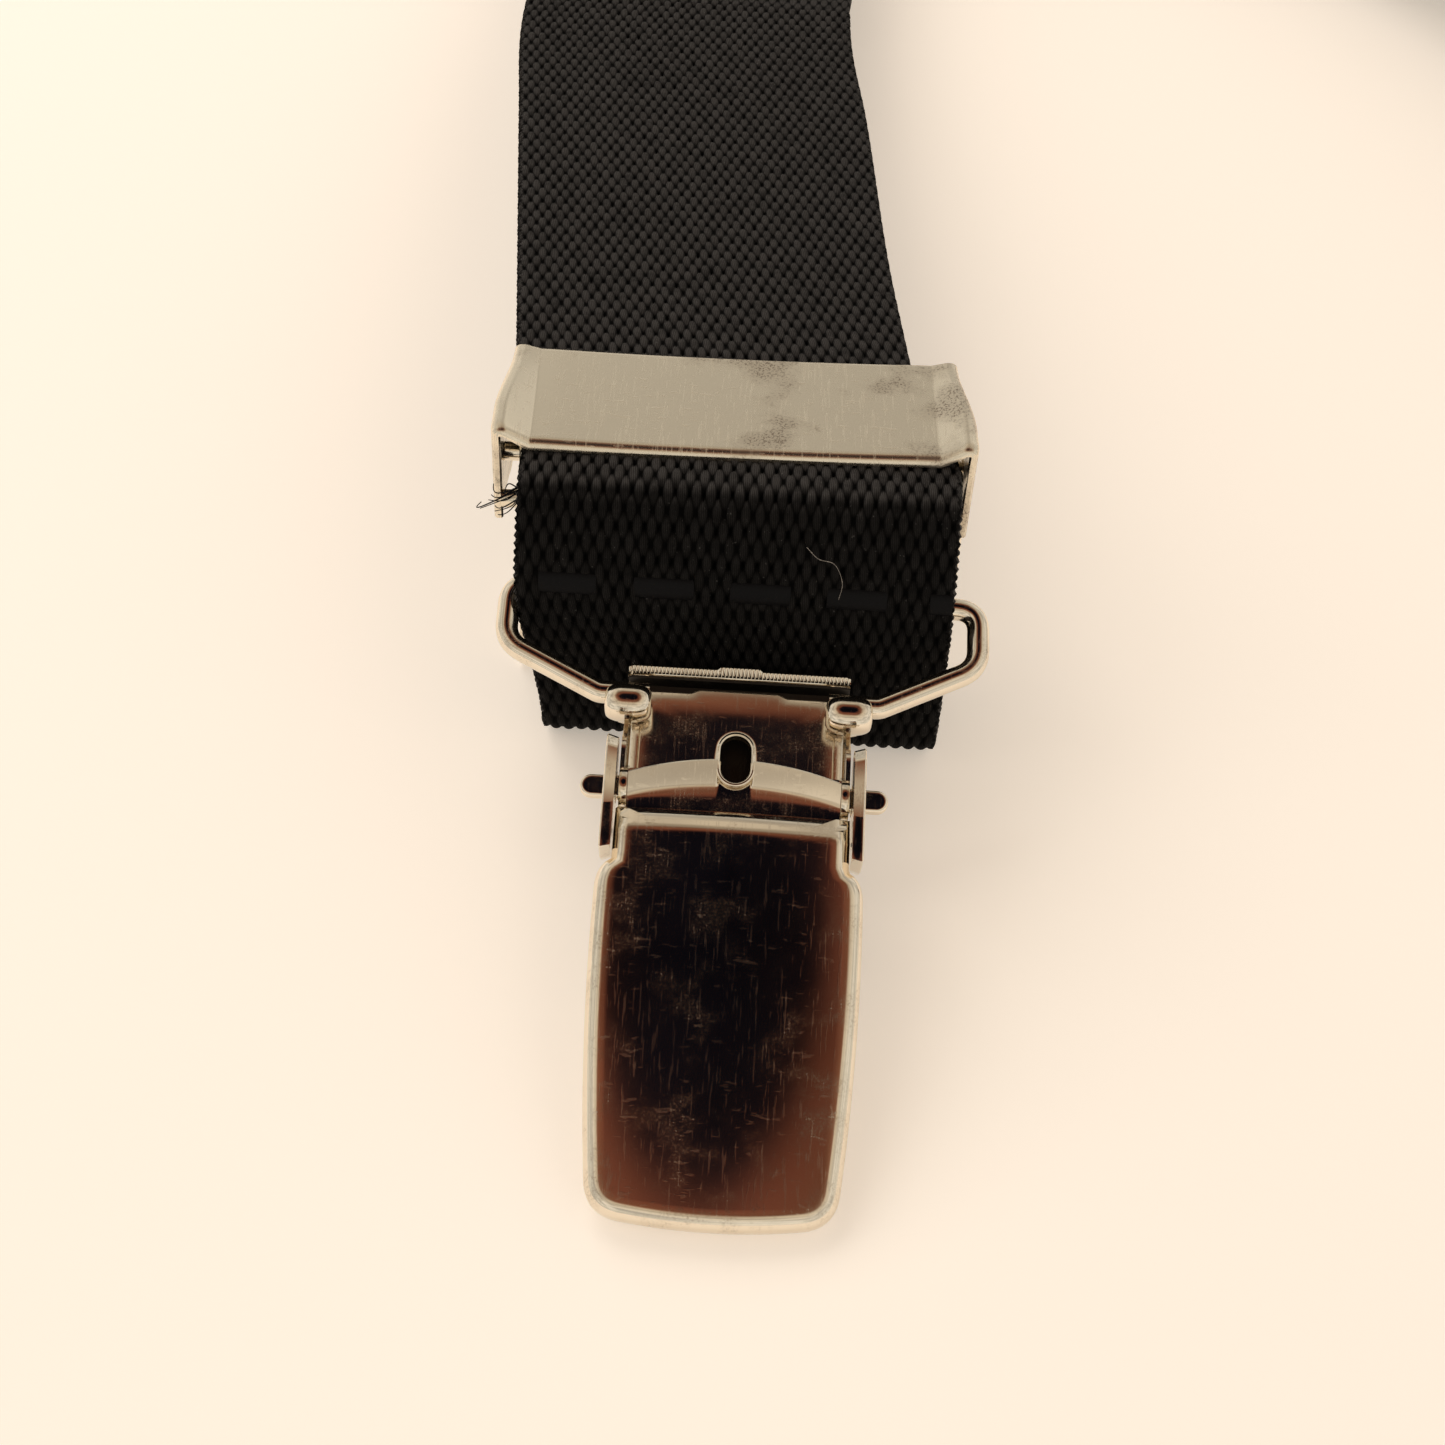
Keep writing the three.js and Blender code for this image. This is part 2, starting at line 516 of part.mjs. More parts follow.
/** Leaf spring that bows between the body plate and the rear jaw. */
function leafSpring() {
  const plateBack = -HOOK_OUTER - GAP;
  const bow = new THREE.SplineCurve([
    new THREE.Vector2(-9, plateBack - 0.2),
    new THREE.Vector2(SPRING_BOW.x + 3.5, SPRING_BOW.y + 0.2),
    SPRING_BOW,
    new THREE.Vector2(-18.2, plateBack - 0.2),
  ]);
  const half = SPRING_WIDTH / 2;
  return geometryOf(solid(acrossX(strip(bow.getPoints(12), SPRING_THICKNESS), -half, half)));
}

/** Soft grip pad on the back of the front jaw. */
function gripPad() {
  const front = -HOOK_OUTER - GAP;
  const half = FRONT_JAW_WIDTH / 2 - 0.9;
  return block([-half, -JAW_END + 0.6, front - GRIP_THICKNESS], [half, -JAW_END + 0.6 + GRIP_LENGTH, front]);
}

/** The wire bail, in the clip's frame: its two ends sit in the hooks and its bar lies above. */
function bail() {
  const side = HALF_STRAP + 0.5 + WIRE_RADIUS;
  const foot = HOOK_REACH + 0.9;
  const half = [
    [HOOK_REACH - HOOK_WIDTH - 0.4, 0],
    [foot, 0],
    [side, BAIL_LENGTH - BAIL_SHOULDER],
    [side, BAIL_LENGTH],
  ];
  const corners = [...half, ...half.map(([x, y]) => [-x, y]).reverse()];
  return geometryOf(solid(wire(corners.map(([x, y]) => new THREE.Vector3(x, y, 0)), WIRE_RADIUS)));
}

/** The pieces of one clip, named with a prefix, in the clip's own frame. */
function clip(prefix) {
  const group = new THREE.Group();
  const leverMesh = piece(`${prefix}_clip_lever`, lever(), NICKEL);
  leverMesh.position.set(0, -PIVOT_DOWN, PIVOT_RISE);
  leverMesh.rotation.x = LEVER_LEAN;
  group.add(
    piece(`${prefix}_clip_body`, bodyPlate(), NICKEL),
    leverMesh,
    piece(`${prefix}_clip_rear_jaw`, rearJaw(), SATIN_NICKEL),
    piece(`${prefix}_clip_jaw_pin`, jawPin(), SATIN_NICKEL),
    piece(`${prefix}_clip_spring`, leafSpring(), SPRING_STEEL),
    piece(`${prefix}_clip_grip_pad`, gripPad(), GRIP),
    piece(`${prefix}_clip_bail`, bail(), NICKEL),
  );
  return group;
}

// ---- slide adjuster -----------------------------------------------------------------------------
// In the adjuster's own frame the strap runs along y through the origin and the plate faces +z.

const FLANGE_INNER = HALF_STRAP + ADJUSTER_SIDE_GAP;
const FLANGE_OUTER = FLANGE_INNER + ADJUSTER_THICKNESS;
const PLATE_MIDDLE = STRAP_THICKNESS / 2 + GAP + ADJUSTER_THICKNESS / 2;

/** Front plate: a channel whose ends curl up to a crest and turn down into two side flanges. */
function adjusterPlate() {
  const flange = (FLANGE_INNER + FLANGE_OUTER) / 2;
  const half = [
    new THREE.Vector2(flange - 2.2, PLATE_MIDDLE),
    new THREE.Vector2(flange - 1.5, PLATE_MIDDLE + ADJUSTER_CREST * 0.45),
    new THREE.Vector2(flange - 0.9, PLATE_MIDDLE + ADJUSTER_CREST * 0.9),
    new THREE.Vector2(flange - 0.35, PLATE_MIDDLE + ADJUSTER_CREST),
    new THREE.Vector2(flange, PLATE_MIDDLE + ADJUSTER_CREST * 0.6),
    new THREE.Vector2(flange, PLATE_MIDDLE - ADJUSTER_FLANGE),
  ];
  const left = half.map((point) => new THREE.Vector2(-point.x, point.y)).reverse();
  const channel = solid(alongY(strip([...left, ...half], ADJUSTER_THICKNESS), 0, ADJUSTER_LENGTH));
  const taper = new THREE.Shape([
    new THREE.Vector2(ADJUSTER_LENGTH * 0.55, PLATE_MIDDLE - ADJUSTER_FLANGE - 1),
    new THREE.Vector2(ADJUSTER_LENGTH + 1, PLATE_MIDDLE - ADJUSTER_FLANGE - 1),
    new THREE.Vector2(ADJUSTER_LENGTH + 1, PLATE_MIDDLE - 2),
  ]);
  const reach = FLANGE_OUTER + 1;
  const holes = [LOCK_PIVOT, TAIL_BAR].map((at, index) => {
    const radius = (index ? TAIL_BAR_RADIUS : RIVET_RADIUS) + GAP;
    return solid(rodX(radius, -reach, reach, at.x, at.y, 14));
  });
  return geometryOf(channel.subtract(join([solid(acrossX(taper, -reach, reach)), ...holes])));
}

/** One rivet of the locking lever: shank, outer head and inner head. */
function rivet(side) {
  const inner = HALF_STRAP - 1;
  const spans = [
    [RIVET_RADIUS, inner, FLANGE_OUTER + GAP + 0.1],
    [RIVET_HEAD, FLANGE_OUTER + GAP, FLANGE_OUTER + GAP + RIVET_HEAD_HEIGHT],
    [RIVET_HEAD * 0.8, inner, inner + RIVET_HEAD_HEIGHT],
  ];
  return geometryOf(join(spans.map(([radius, from, to]) => {
    const [low, high] = side > 0 ? [from, to] : [-to, -from];
    return solid(rodX(radius, low, high, LOCK_PIVOT.x, LOCK_PIVOT.y, 14));
  })));
}

/** Locking lever, about its pivot with its plate along +y: ears, plate and toothed cam lip. */
function lockLever(reach) {
  const outer = FLANGE_INNER - GAP;
  const inner = outer - LOCK_THICKNESS;
  const plate = solid(block([-outer, LOCK_START, -LOCK_THICKNESS / 2], [outer, reach, LOCK_THICKNESS / 2]));
  const edge = LOCK_START + LOCK_THICKNESS;
  const cam = solid(block([-inner + 0.5, LOCK_START, 0], [inner - 0.5, edge, LOCK_CAM]));
  const ears = [-1, 1].map((side) => {
    const ear = new THREE.Shape();
    ear.moveTo(LOCK_START + 2, -LOCK_THICKNESS / 2);
    ear.lineTo(LOCK_START + 1, 1.1);
    ear.lineTo(0.5, 1.15);
    ear.absarc(0, 0, LOCK_EAR_RADIUS, Math.PI / 3, -Math.PI / 2, false);
    ear.lineTo(2, -1.2);
    ear.holes.push(new THREE.Path().absarc(0, 0, RIVET_RADIUS + GAP / 1.2, 0, 2 * Math.PI));
    const [low, high] = side > 0 ? [inner, outer] : [-outer, -inner];
    return solid(acrossX(ear, low, high, 5));
  });
  return geometryOf(join([plate, cam, ...ears]));
}

/** The pieces of one slide adjuster, in its own frame. */
function adjuster(prefix, reach) {
  const group = new THREE.Group();
  const lock = piece(`${prefix}_adjuster_lock_lever`, lockLever(reach), NICKEL);
  lock.position.set(0, LOCK_PIVOT.x, LOCK_PIVOT.y);
  lock.rotation.x = LOCK_OPEN;
  const bar = rodX(TAIL_BAR_RADIUS, -FLANGE_OUTER - GAP, FLANGE_OUTER + GAP, TAIL_BAR.x, TAIL_BAR.y);
  group.add(
    piece(`${prefix}_adjuster_plate`, adjusterPlate(), SATIN_NICKEL),
    lock,
    piece(`${prefix}_adjuster_rivet_a`, rivet(-1), NICKEL),
    piece(`${prefix}_adjuster_rivet_b`, rivet(1), NICKEL),
    piece(`${prefix}_adjuster_tail_bar`, bar, SATIN_NICKEL),
  );
  return group;
}

// ---- straps and patch ---------------------------------------------------------------------------

/** Folded layers of a strap, from the bottom layer's start at `near`, ending in the top layer. */
function foldedLayers(near, far, layers) {
  const points = [];
  for (let layer = 0; layer < layers; layer += 1) {
    const outward = layer % 2 === 0;
    const height = layerHeight(layer);
    points.push(new THREE.Vector2(outward ? near : far, height));
    points.push(new THREE.Vector2(outward ? far : near, height));
    if (layer < layers - 1) {
      const centre = new THREE.Vector2(outward ? far : near, height + LAYER_PITCH / 2);
      const turn = (outward ? Math.PI : -Math.PI) * Math.sign(far - near);
      const start = -Math.PI / 2;
      points.push(...arcPoints(centre, LAYER_PITCH / 2, start, start + turn, 6).slice(1, -1));
    }
  }
  return points;
}

/** A point of the adjuster's own frame, in (y, z) of its strap's frame. */
function fromAdjuster(point) {
  const turned = point.clone().rotateAround(new THREE.Vector2(), -BRIDGE_SLOPE);
  return turned.add(ADJUSTER);
}

/** A full-width band of strap whose middle follows a path in (y, z). */
function band(path) {
  return acrossX(strip(path, STRAP_THICKNESS), -HALF_STRAP, HALF_STRAP);
}

/** Sideways drift of a front strap at a place along it. */
function lean(y) {
  const share = (y - ADJUSTER.x) / (STACK_START - ADJUSTER.x);
  return STRAP_LEAN * (1 - THREE.MathUtils.clamp(share, 0, 1));
}

/** Front strap: loop round the bail bar, run through the adjuster, bridge, stack and end. */
function frontStrap(side) {
  const wrap = WIRE_RADIUS + GAP + STRAP_THICKNESS / 2;
  const fold = FOLD_RADIUS;
  const foldCentre = new THREE.Vector2(BAR.x - 1.9, fold + STRAP_THICKNESS / 2);
  const loop = new THREE.SplineCurve([
    new THREE.Vector2(BAR.x + 2.8, BAR.y + 0.6),
    new THREE.Vector2(BAR.x + wrap + 0.25, BAR.y - 1.5),
    new THREE.Vector2(foldCentre.x + fold + 0.7, foldCentre.y + 5),
    ...arcPoints(foldCentre, fold, 0, -Math.PI, 4),
    new THREE.Vector2(foldCentre.x - fold + 0.35, foldCentre.y + 4),
    new THREE.Vector2(BAR.x - 2.75, BAR.y - 3.4),
    new THREE.Vector2(BAR.x - 1.82, BAR.y + 0.62),
    new THREE.Vector2(BAR.x + 0.7, BAR.y + 4.9),
    new THREE.Vector2(ADJUSTER.x - 2.9, ADJUSTER.y - 0.1),
    ADJUSTER,
  ]);
  const patchRamp = [
    new THREE.Vector2(PATCH_CENTRE + 30, PATCH_STRAP),
    new THREE.Vector2(PATCH_CENTRE - PATCH_REACH, PATCH_STRAP),
    new THREE.Vector2(STACK_END + 4, layerHeight(0)),
  ];
  const stack = foldedLayers(STACK_END, STACK_START, FRONT_LAYERS);
  const overlap = fromAdjuster(new THREE.Vector2(GAP, 0));
  const straight = band([overlap, ...loop.getPoints(44).reverse()]);
  straight.translate(side * STRAP_LEAN, 0, 0);
  const leaning = band([...patchRamp, ...stack, ADJUSTER]);
  const places = leaning.attributes.position;
  for (let index = 0; index < places.count; index += 1) {
    places.setX(index, places.getX(index) + side * lean(places.getY(index)));
  }
  return geometryOf(solid(straight).add(solid(leaning)).subtract(mitre(side)));
}

/** What a front strap's end loses so that it meets the other two straps edge to edge. */
function mitre(side) {
  const far = 120;
  const inner = -side * (GAP / 2);
  const beside = block([Math.min(inner, side * far), -far, -5], [Math.max(inner, side * far), far, 20]);
  const beyond = block([-far, -GAP / 2, -5], [far, far, 20]);
  const cut = solid(beside.rotateZ((side * STRAP_SPREAD) / 2).translate(0, PATCH_CENTRE, 0));
  return cut.add(solid(beyond.rotateZ((side * STRAP_SPREAD) / 2).translate(0, PATCH_CENTRE, 0)));
}

/** Sewn end of a front strap, folded round the adjuster's tail bar. */
function frontStrapEnd() {
  const bar = fromAdjuster(TAIL_BAR);
  const radius = TAIL_BAR_RADIUS + GAP + STRAP_THICKNESS / 2;
  const path = [
    new THREE.Vector2(BAR.x + 3.15, BAR.y + 1.05),
    ...arcPoints(bar, radius, THREE.MathUtils.degToRad(140), THREE.MathUtils.degToRad(-60), 10),
    new THREE.Vector2(bar.x - 1.4, bar.y - 3),
  ];
  return acrossX(strip(path, STRAP_THICKNESS), -HALF_STRAP + GAP, HALF_STRAP - GAP);
}

/** Back strap, from the patch outward along +y: ramp, folded stack and the loop round its bail bar. */
function backStrap(bar) {
  const wrap = WIRE_RADIUS + GAP + STRAP_THICKNESS / 2;
  const far = BACK_STACK_START + BACK_LAYER_LENGTH;
  const top = layerHeight(BACK_LAYERS - 1);
  const stack = foldedLayers(BACK_STACK_START, far, BACK_LAYERS);
  const path = [
    new THREE.Vector2(GAP, PATCH_STRAP),
    new THREE.Vector2(PATCH_LENGTH / 2 + 2, PATCH_STRAP),
    new THREE.Vector2(PATCH_LENGTH / 2 + 11, layerHeight(0)),
    ...stack.slice(1),
    new THREE.Vector2(bar.x - 10, top + 1),
    new THREE.Vector2(bar.x - 5, bar.y + wrap - 0.9),
    ...arcPoints(bar, wrap, THREE.MathUtils.degToRad(105), THREE.MathUtils.degToRad(-95), 10),
    new THREE.Vector2(bar.x - 4, bar.y - wrap + 0.25),
    new THREE.Vector2(bar.x - 10, top + 1 - STRAP_THICKNESS - GAP),
    new THREE.Vector2(bar.x - 15, top - STRAP_THICKNESS - GAP),
  ];
  return band(path);
}

/** Patch: a rounded, tapering panel, wide toward the two front straps. */
function patch(from, to) {
  const wide = PATCH_WIDTH / 2;
  const narrow = HALF_STRAP + 3;
  const half = PATCH_LENGTH / 2;
  const shape = new THREE.Shape();
  shape.moveTo(-wide + PATCH_CORNER, -half);
  shape.quadraticCurveTo(0, -half + 5, wide - PATCH_CORNER, -half);
  shape.quadraticCurveTo(wide + 1, -half + 1, wide, -half + 8);
  shape.quadraticCurveTo(wide - 4, 4, narrow, half - 5);
  shape.quadraticCurveTo(narrow - 0.5, half, narrow - PATCH_CORNER, half);
  shape.lineTo(-narrow + PATCH_CORNER, half);
  shape.quadraticCurveTo(-narrow + 0.5, half, -narrow, half - 5);
  shape.quadraticCurveTo(-wide + 4, 4, -wide, -half + 8);
  shape.quadraticCurveTo(-wide - 1, -half + 1, -wide + PATCH_CORNER, -half);
  return alongZ(shape, from, to, 6);
}

// ---- assembly -----------------------------------------------------------------------------------

/** Put a clip in place: its hook axis at (y, z), sloping down toward -y. */
function placeClip(prefix, hookAt, slope) {
  const group = clip(prefix);
  group.position.set(0, hookAt.x, hookAt.y);
  group.rotation.x = slope;
  return group;
}

/** One front strap with its adjuster and clip, in the strap's own frame. */
function frontHalf(prefix, side) {
  const half = new THREE.Group();
  const pivot = fromAdjuster(LOCK_PIVOT);
  const down = Math.sin(-(LOCK_OPEN - BRIDGE_SLOPE));
  const reach = (pivot.y - GAP / 3 - LOCK_THICKNESS * 0.2) / down;
  const slide = adjuster(prefix, reach);
  const tip = new THREE.Group();
  tip.position.x = side * STRAP_LEAN;
  // The adjuster is centred on the leaning strap that it holds.
  const offset = side * (lean(ADJUSTER.x + ADJUSTER_LENGTH / 2) - STRAP_LEAN);
  const end = piece(`${prefix}_strap_end`, frontStrapEnd(), ELASTIC);
  slide.position.set(offset, ADJUSTER.x, ADJUSTER.y);
  slide.rotation.x = -BRIDGE_SLOPE;
  end.position.x = offset;
  tip.add(slide, end, placeClip(prefix, HOOK, CLIP_SLOPE));
  half.add(piece(`${prefix}_front_strap`, frontStrap(side), ELASTIC), tip);
  return half;
}

/** The whole pair of suspenders, turned so that the left front strap runs along y. */
function suspenders() {
  const whole = new THREE.Group();
  const rightHalf = new THREE.Group();
  rightHalf.position.y = PATCH_CENTRE;
  rightHalf.rotation.z = STRAP_SPREAD;
  const rightInner = frontHalf('right', -1);
  rightInner.position.y = -PATCH_CENTRE;
  rightHalf.add(rightInner);
  const back = new THREE.Group();
  back.position.y = PATCH_CENTRE;
  back.rotation.z = STRAP_SPREAD / 2;
  const backHook = new THREE.Vector2(BACK_STACK_START + BACK_LAYER_LENGTH + 32, hookHeight(BACK_CLIP_SLOPE));
  const backBar = new THREE.Vector2(
    backHook.x - BAIL_LENGTH * Math.cos(BACK_CLIP_SLOPE),
    backHook.y + BAIL_LENGTH * Math.sin(BACK_CLIP_SLOPE),
  );
  const turned = new THREE.Group();
  turned.rotation.z = Math.PI;
  turned.add(placeClip('back', new THREE.Vector2(-backHook.x, backHook.y), BACK_CLIP_SLOPE));
  const topSkin = PATCH_STRAP + STRAP_THICKNESS / 2 + GAP;
  back.add(
    piece('back_strap', backStrap(backBar), ELASTIC),
    piece('patch_lining', patch(0, PATCH_THICKNESS), LEATHER),
    piece('patch_front', patch(topSkin, topSkin + PATCH_THICKNESS), LEATHER),
    turned,
  );
  whole.add(frontHalf('left', 1), rightHalf, back);
  return whole;
}

const group = new THREE.Group();
const model = suspenders();
group.add(model);
group.updateMatrixWorld(true);
const bounds = new THREE.Box3().setFromObject(model, true);
model.position.set(
  -(bounds.min.x + bounds.max.x) / 2,
  -(bounds.min.y + bounds.max.y) / 2,
  -bounds.min.z,
);

export default group;
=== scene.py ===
"""Looks of a folded pair of dress suspenders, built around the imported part.

All lengths are in metres, in the part's own frame: +Z up from the table, and the clip of the left
front strap toward -Y.
"""

import json
import logging
import math
from collections.abc import Callable
from dataclasses import dataclass, field
from enum import Enum
from functools import reduce

import bmesh
import bpy
import numpy as np
from mathutils import Matrix, Vector


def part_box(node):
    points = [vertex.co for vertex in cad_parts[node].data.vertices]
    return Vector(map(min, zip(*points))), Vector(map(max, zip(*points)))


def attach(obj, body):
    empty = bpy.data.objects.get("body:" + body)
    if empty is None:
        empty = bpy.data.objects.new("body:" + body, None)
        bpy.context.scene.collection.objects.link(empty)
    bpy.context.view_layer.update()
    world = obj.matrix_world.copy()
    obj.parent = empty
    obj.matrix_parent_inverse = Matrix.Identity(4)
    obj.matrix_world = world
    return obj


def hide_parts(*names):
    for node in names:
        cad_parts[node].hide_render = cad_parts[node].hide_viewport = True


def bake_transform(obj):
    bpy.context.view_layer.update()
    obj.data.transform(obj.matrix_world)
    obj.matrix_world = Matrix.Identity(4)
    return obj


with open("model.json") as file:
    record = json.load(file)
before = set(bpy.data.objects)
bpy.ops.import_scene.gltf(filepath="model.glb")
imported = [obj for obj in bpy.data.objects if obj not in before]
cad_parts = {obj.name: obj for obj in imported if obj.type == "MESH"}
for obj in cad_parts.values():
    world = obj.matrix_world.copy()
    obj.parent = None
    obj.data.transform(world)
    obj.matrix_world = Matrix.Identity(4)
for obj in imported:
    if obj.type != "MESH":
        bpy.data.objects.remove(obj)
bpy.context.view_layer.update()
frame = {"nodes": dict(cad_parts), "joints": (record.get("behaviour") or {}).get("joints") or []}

LOG = logging.getLogger("suspenders")
MM = 0.001
UP = Vector((0, 0, 1))

# Sizes that more than one piece shares.
STRAP_THICKNESS = 1.3 * MM
PANEL_THICKNESS = 1.4 * MM
PATCH_LENGTH = 62 * MM
CLEARANCE = 0.3 * MM
BETWEEN_PANELS = PANEL_THICKNESS + CLEARANCE + 0.65 * MM
LOOP_WRAP = 1.85 * MM  # bail wire's axis to the middle of the elastic that wraps it

# Sideways place or share of width, from places along a strap and their heights.
Course = Callable[[np.ndarray, np.ndarray], np.ndarray]
# Lowest and highest x, from places along a strap.
Limits = Callable[[np.ndarray], tuple[np.ndarray, np.ndarray]]


class Side(Enum):
    """Which end of the suspenders a clip hangs from; the value is its name and sideways lean."""

    LEFT = ("left", 1.0)
    RIGHT = ("right", -1.0)
    BACK = ("back", 0.0)

    @property
    def prefix(self) -> str:
        """First word of this end's body, joint and node names."""
        return self.value[0]

    @property
    def sign(self) -> float:
        """Way in which the strap leans, looking from the clip along the strap."""
        return self.value[1]


# ---- shader building ----------------------------------------------------------------------------


class Value:
    """A number that varies over a surface, written as an ordinary expression."""

    def __init__(self, graph: "Graph", socket: bpy.types.NodeSocket) -> None:
        """Wrap a socket of a graph."""
        self.graph = graph
        self.socket = socket

    def _math(self, operation: str, first: object, second: object = 0.0) -> "Value":
        """Add one Math node to the graph."""
        made = self.graph.node("ShaderNodeMath", {"operation": operation}, {0: first, 1: second})
        return Value(self.graph, made.outputs[0])

    def __add__(self, other: object) -> "Value":
        """Sum."""
        return self._math("ADD", self, other)

    __radd__ = __add__

    def __sub__(self, other: object) -> "Value":
        """Difference."""
        return self._math("SUBTRACT", self, other)

    def __rsub__(self, other: object) -> "Value":
        """Difference, the other way round."""
        return self._math("SUBTRACT", other, self)

    def __mul__(self, other: object) -> "Value":
        """Product."""
        return self._math("MULTIPLY", self, other)

    __rmul__ = __mul__

    def __truediv__(self, other: object) -> "Value":
        """Quotient."""
        return self._math("DIVIDE", self, other)

    def __pow__(self, other: object) -> "Value":
        """Power."""
        return self._math("POWER", self, other)

    def fraction(self) -> "Value":
        """Part after the decimal point."""
        return self._math("FRACT", self)

    def sine(self) -> "Value":
        """Sine, of radians."""
        return self._math("SINE", self)

    def larger(self, other: object) -> "Value":
        """Larger of two numbers."""
        return self._math("MAXIMUM", self, other)

    def within(self, low: float, high: float) -> "Value":
        """0 below low, 1 above high and a soft step between.

        Args:
            low: Where the step starts.
            high: Where it ends.

        Returns:
            The share.
        """
        made = self.graph.node(
            "ShaderNodeMapRange",
            {"interpolation_type": "SMOOTHSTEP"},
            {0: self, 1: low, 2: high, 3: 0.0, 4: 1.0},
        )
        return Value(self.graph, made.outputs[0])


class Graph:
    """The node tree of one material or of the world."""

    def __init__(self, tree: bpy.types.NodeTree) -> None:
        """Take over a tree and clear it."""
        self.tree = tree
        tree.nodes.clear()

    def node(self, kind: str, settings: dict | None = None, inputs: dict | None = None) -> bpy.types.Node:
        """Add a node.

        Args:
            kind: Blender's name of the node type.
            settings: Properties set before the sockets; "stops" is a ramp's list of (place, colour).
            inputs: Values or links, by socket name or number.

        Returns:
            The new node.
        """
        made = self.tree.nodes.new(kind)
        for key, setting in (settings or {}).items():
            if key == "stops":
                self._set_stops(made.color_ramp, setting)
            else:
                setattr(made, key, setting)
        for key, given in (inputs or {}).items():
            if isinstance(given, Value):
                self.tree.links.new(given.socket, made.inputs[key])
            elif isinstance(given, bpy.types.NodeSocket):
                self.tree.links.new(given, made.inputs[key])
            else:
                made.inputs[key].default_value = given
        return made

    @staticmethod
    def _set_stops(ramp: bpy.types.ColorRamp, stops: list[tuple[float, tuple]]) -> None:
        """Give a colour ramp its stops.

        Args:
            ramp: The ramp.
            stops: Places and colours, in order.
        """
        while len(ramp.elements) < len(stops):
            ramp.elements.new(1.0)
        for element, (place, colour) in zip(ramp.elements, stops):
            element.position = place
            element.color = (*colour, 1.0)

    def value(self, kind: str, settings: dict, inputs: dict, output: str | int = 0) -> Value:
        """Add a node and wrap one of its outputs."""
        return Value(self, self.node(kind, settings, inputs).outputs[output])

    def mix(self, share: object, first: object, second: object) -> bpy.types.NodeSocket:
        """Mix two colours."""
        made = self.node("ShaderNodeMix", {"data_type": "RGBA"}, {0: share, 6: first, 7: second})
        return made.outputs[2]

    def place(self) -> bpy.types.NodeSocket:
        """Places on the piece, in metres."""
        return self.node("ShaderNodeTexCoord").outputs["Object"]

    def noise(self, place: object, scale: float, detail: float = 3.0, rough: float = 0.5) -> Value:
        """Cloudy noise at a scale given in features per metre."""
        inputs = {"Vector": place, "Scale": scale, "Detail": detail, "Roughness": rough}
        return self.value("ShaderNodeTexNoise", {}, inputs, 0)

    def stretched(self, place: object, scales: tuple[float, float, float]) -> bpy.types.NodeSocket:
        """Places stretched along each axis."""
        settings = {"operation": "MULTIPLY"}
        return self.node("ShaderNodeVectorMath", settings, {0: place, 1: scales}).outputs[0]

    def bump(self, height: object, strength: float, distance: float) -> bpy.types.NodeSocket:
        """Normal from a height."""
        inputs = {"Height": height, "Strength": strength, "Distance": distance}
        return self.node("ShaderNodeBump", {}, inputs).outputs[0]


def grey(value: float, tint: tuple[float, float, float] = (1, 1, 1)) -> tuple[float, ...]:
    """A tinted grey as a colour with alpha."""
    return (*(value * part for part in tint), 1.0)


# ---- finishes -----------------------------------------------------------------------------------


@dataclass(frozen=True)
class Finish:
    """A surface finish: the name of its material and the record slot that it stands for."""

    name: str
    slot: str

    def material(self) -> bpy.types.Material:
        """The finish's material, made the first time it is asked for.

        Returns:
            The material, shared by every piece of this finish.
        """
        title = f"{self.name}_finish"
        known = bpy.data.materials.get(title)
        if known:
            return known
        made = bpy.data.materials.new(title)
        made.use_nodes = True
        graph = Graph(made.node_tree)
        shader = graph.node("ShaderNodeBsdfPrincipled")
        graph.node("ShaderNodeOutputMaterial", {}, {"Surface": shader.outputs[0]})
        self.paint(graph, shader)
        return made

    def paint(self, graph: Graph, shader: bpy.types.Node) -> None:
        """Set the shader up; each finish has its own way.

        Args:
            graph: Node tree of the material.
            shader: The tree's surface shader.
        """
        raise NotImplementedError

    def put(self, shader: bpy.types.Node, graph: Graph, **inputs: object) -> None:
        """Set or link the shader's sockets, named with underscores for spaces.

        Args:
            shader: The surface shader.
            graph: Its node tree.
            inputs: Numbers, colours or links, by socket.
        """
        for key, given in inputs.items():
            socket = shader.inputs[key.replace("_", " ")]
            if isinstance(given, (Value, bpy.types.NodeSocket)):
                graph.tree.links.new(getattr(given, "socket", given), socket)
            else:
                socket.default_value = given


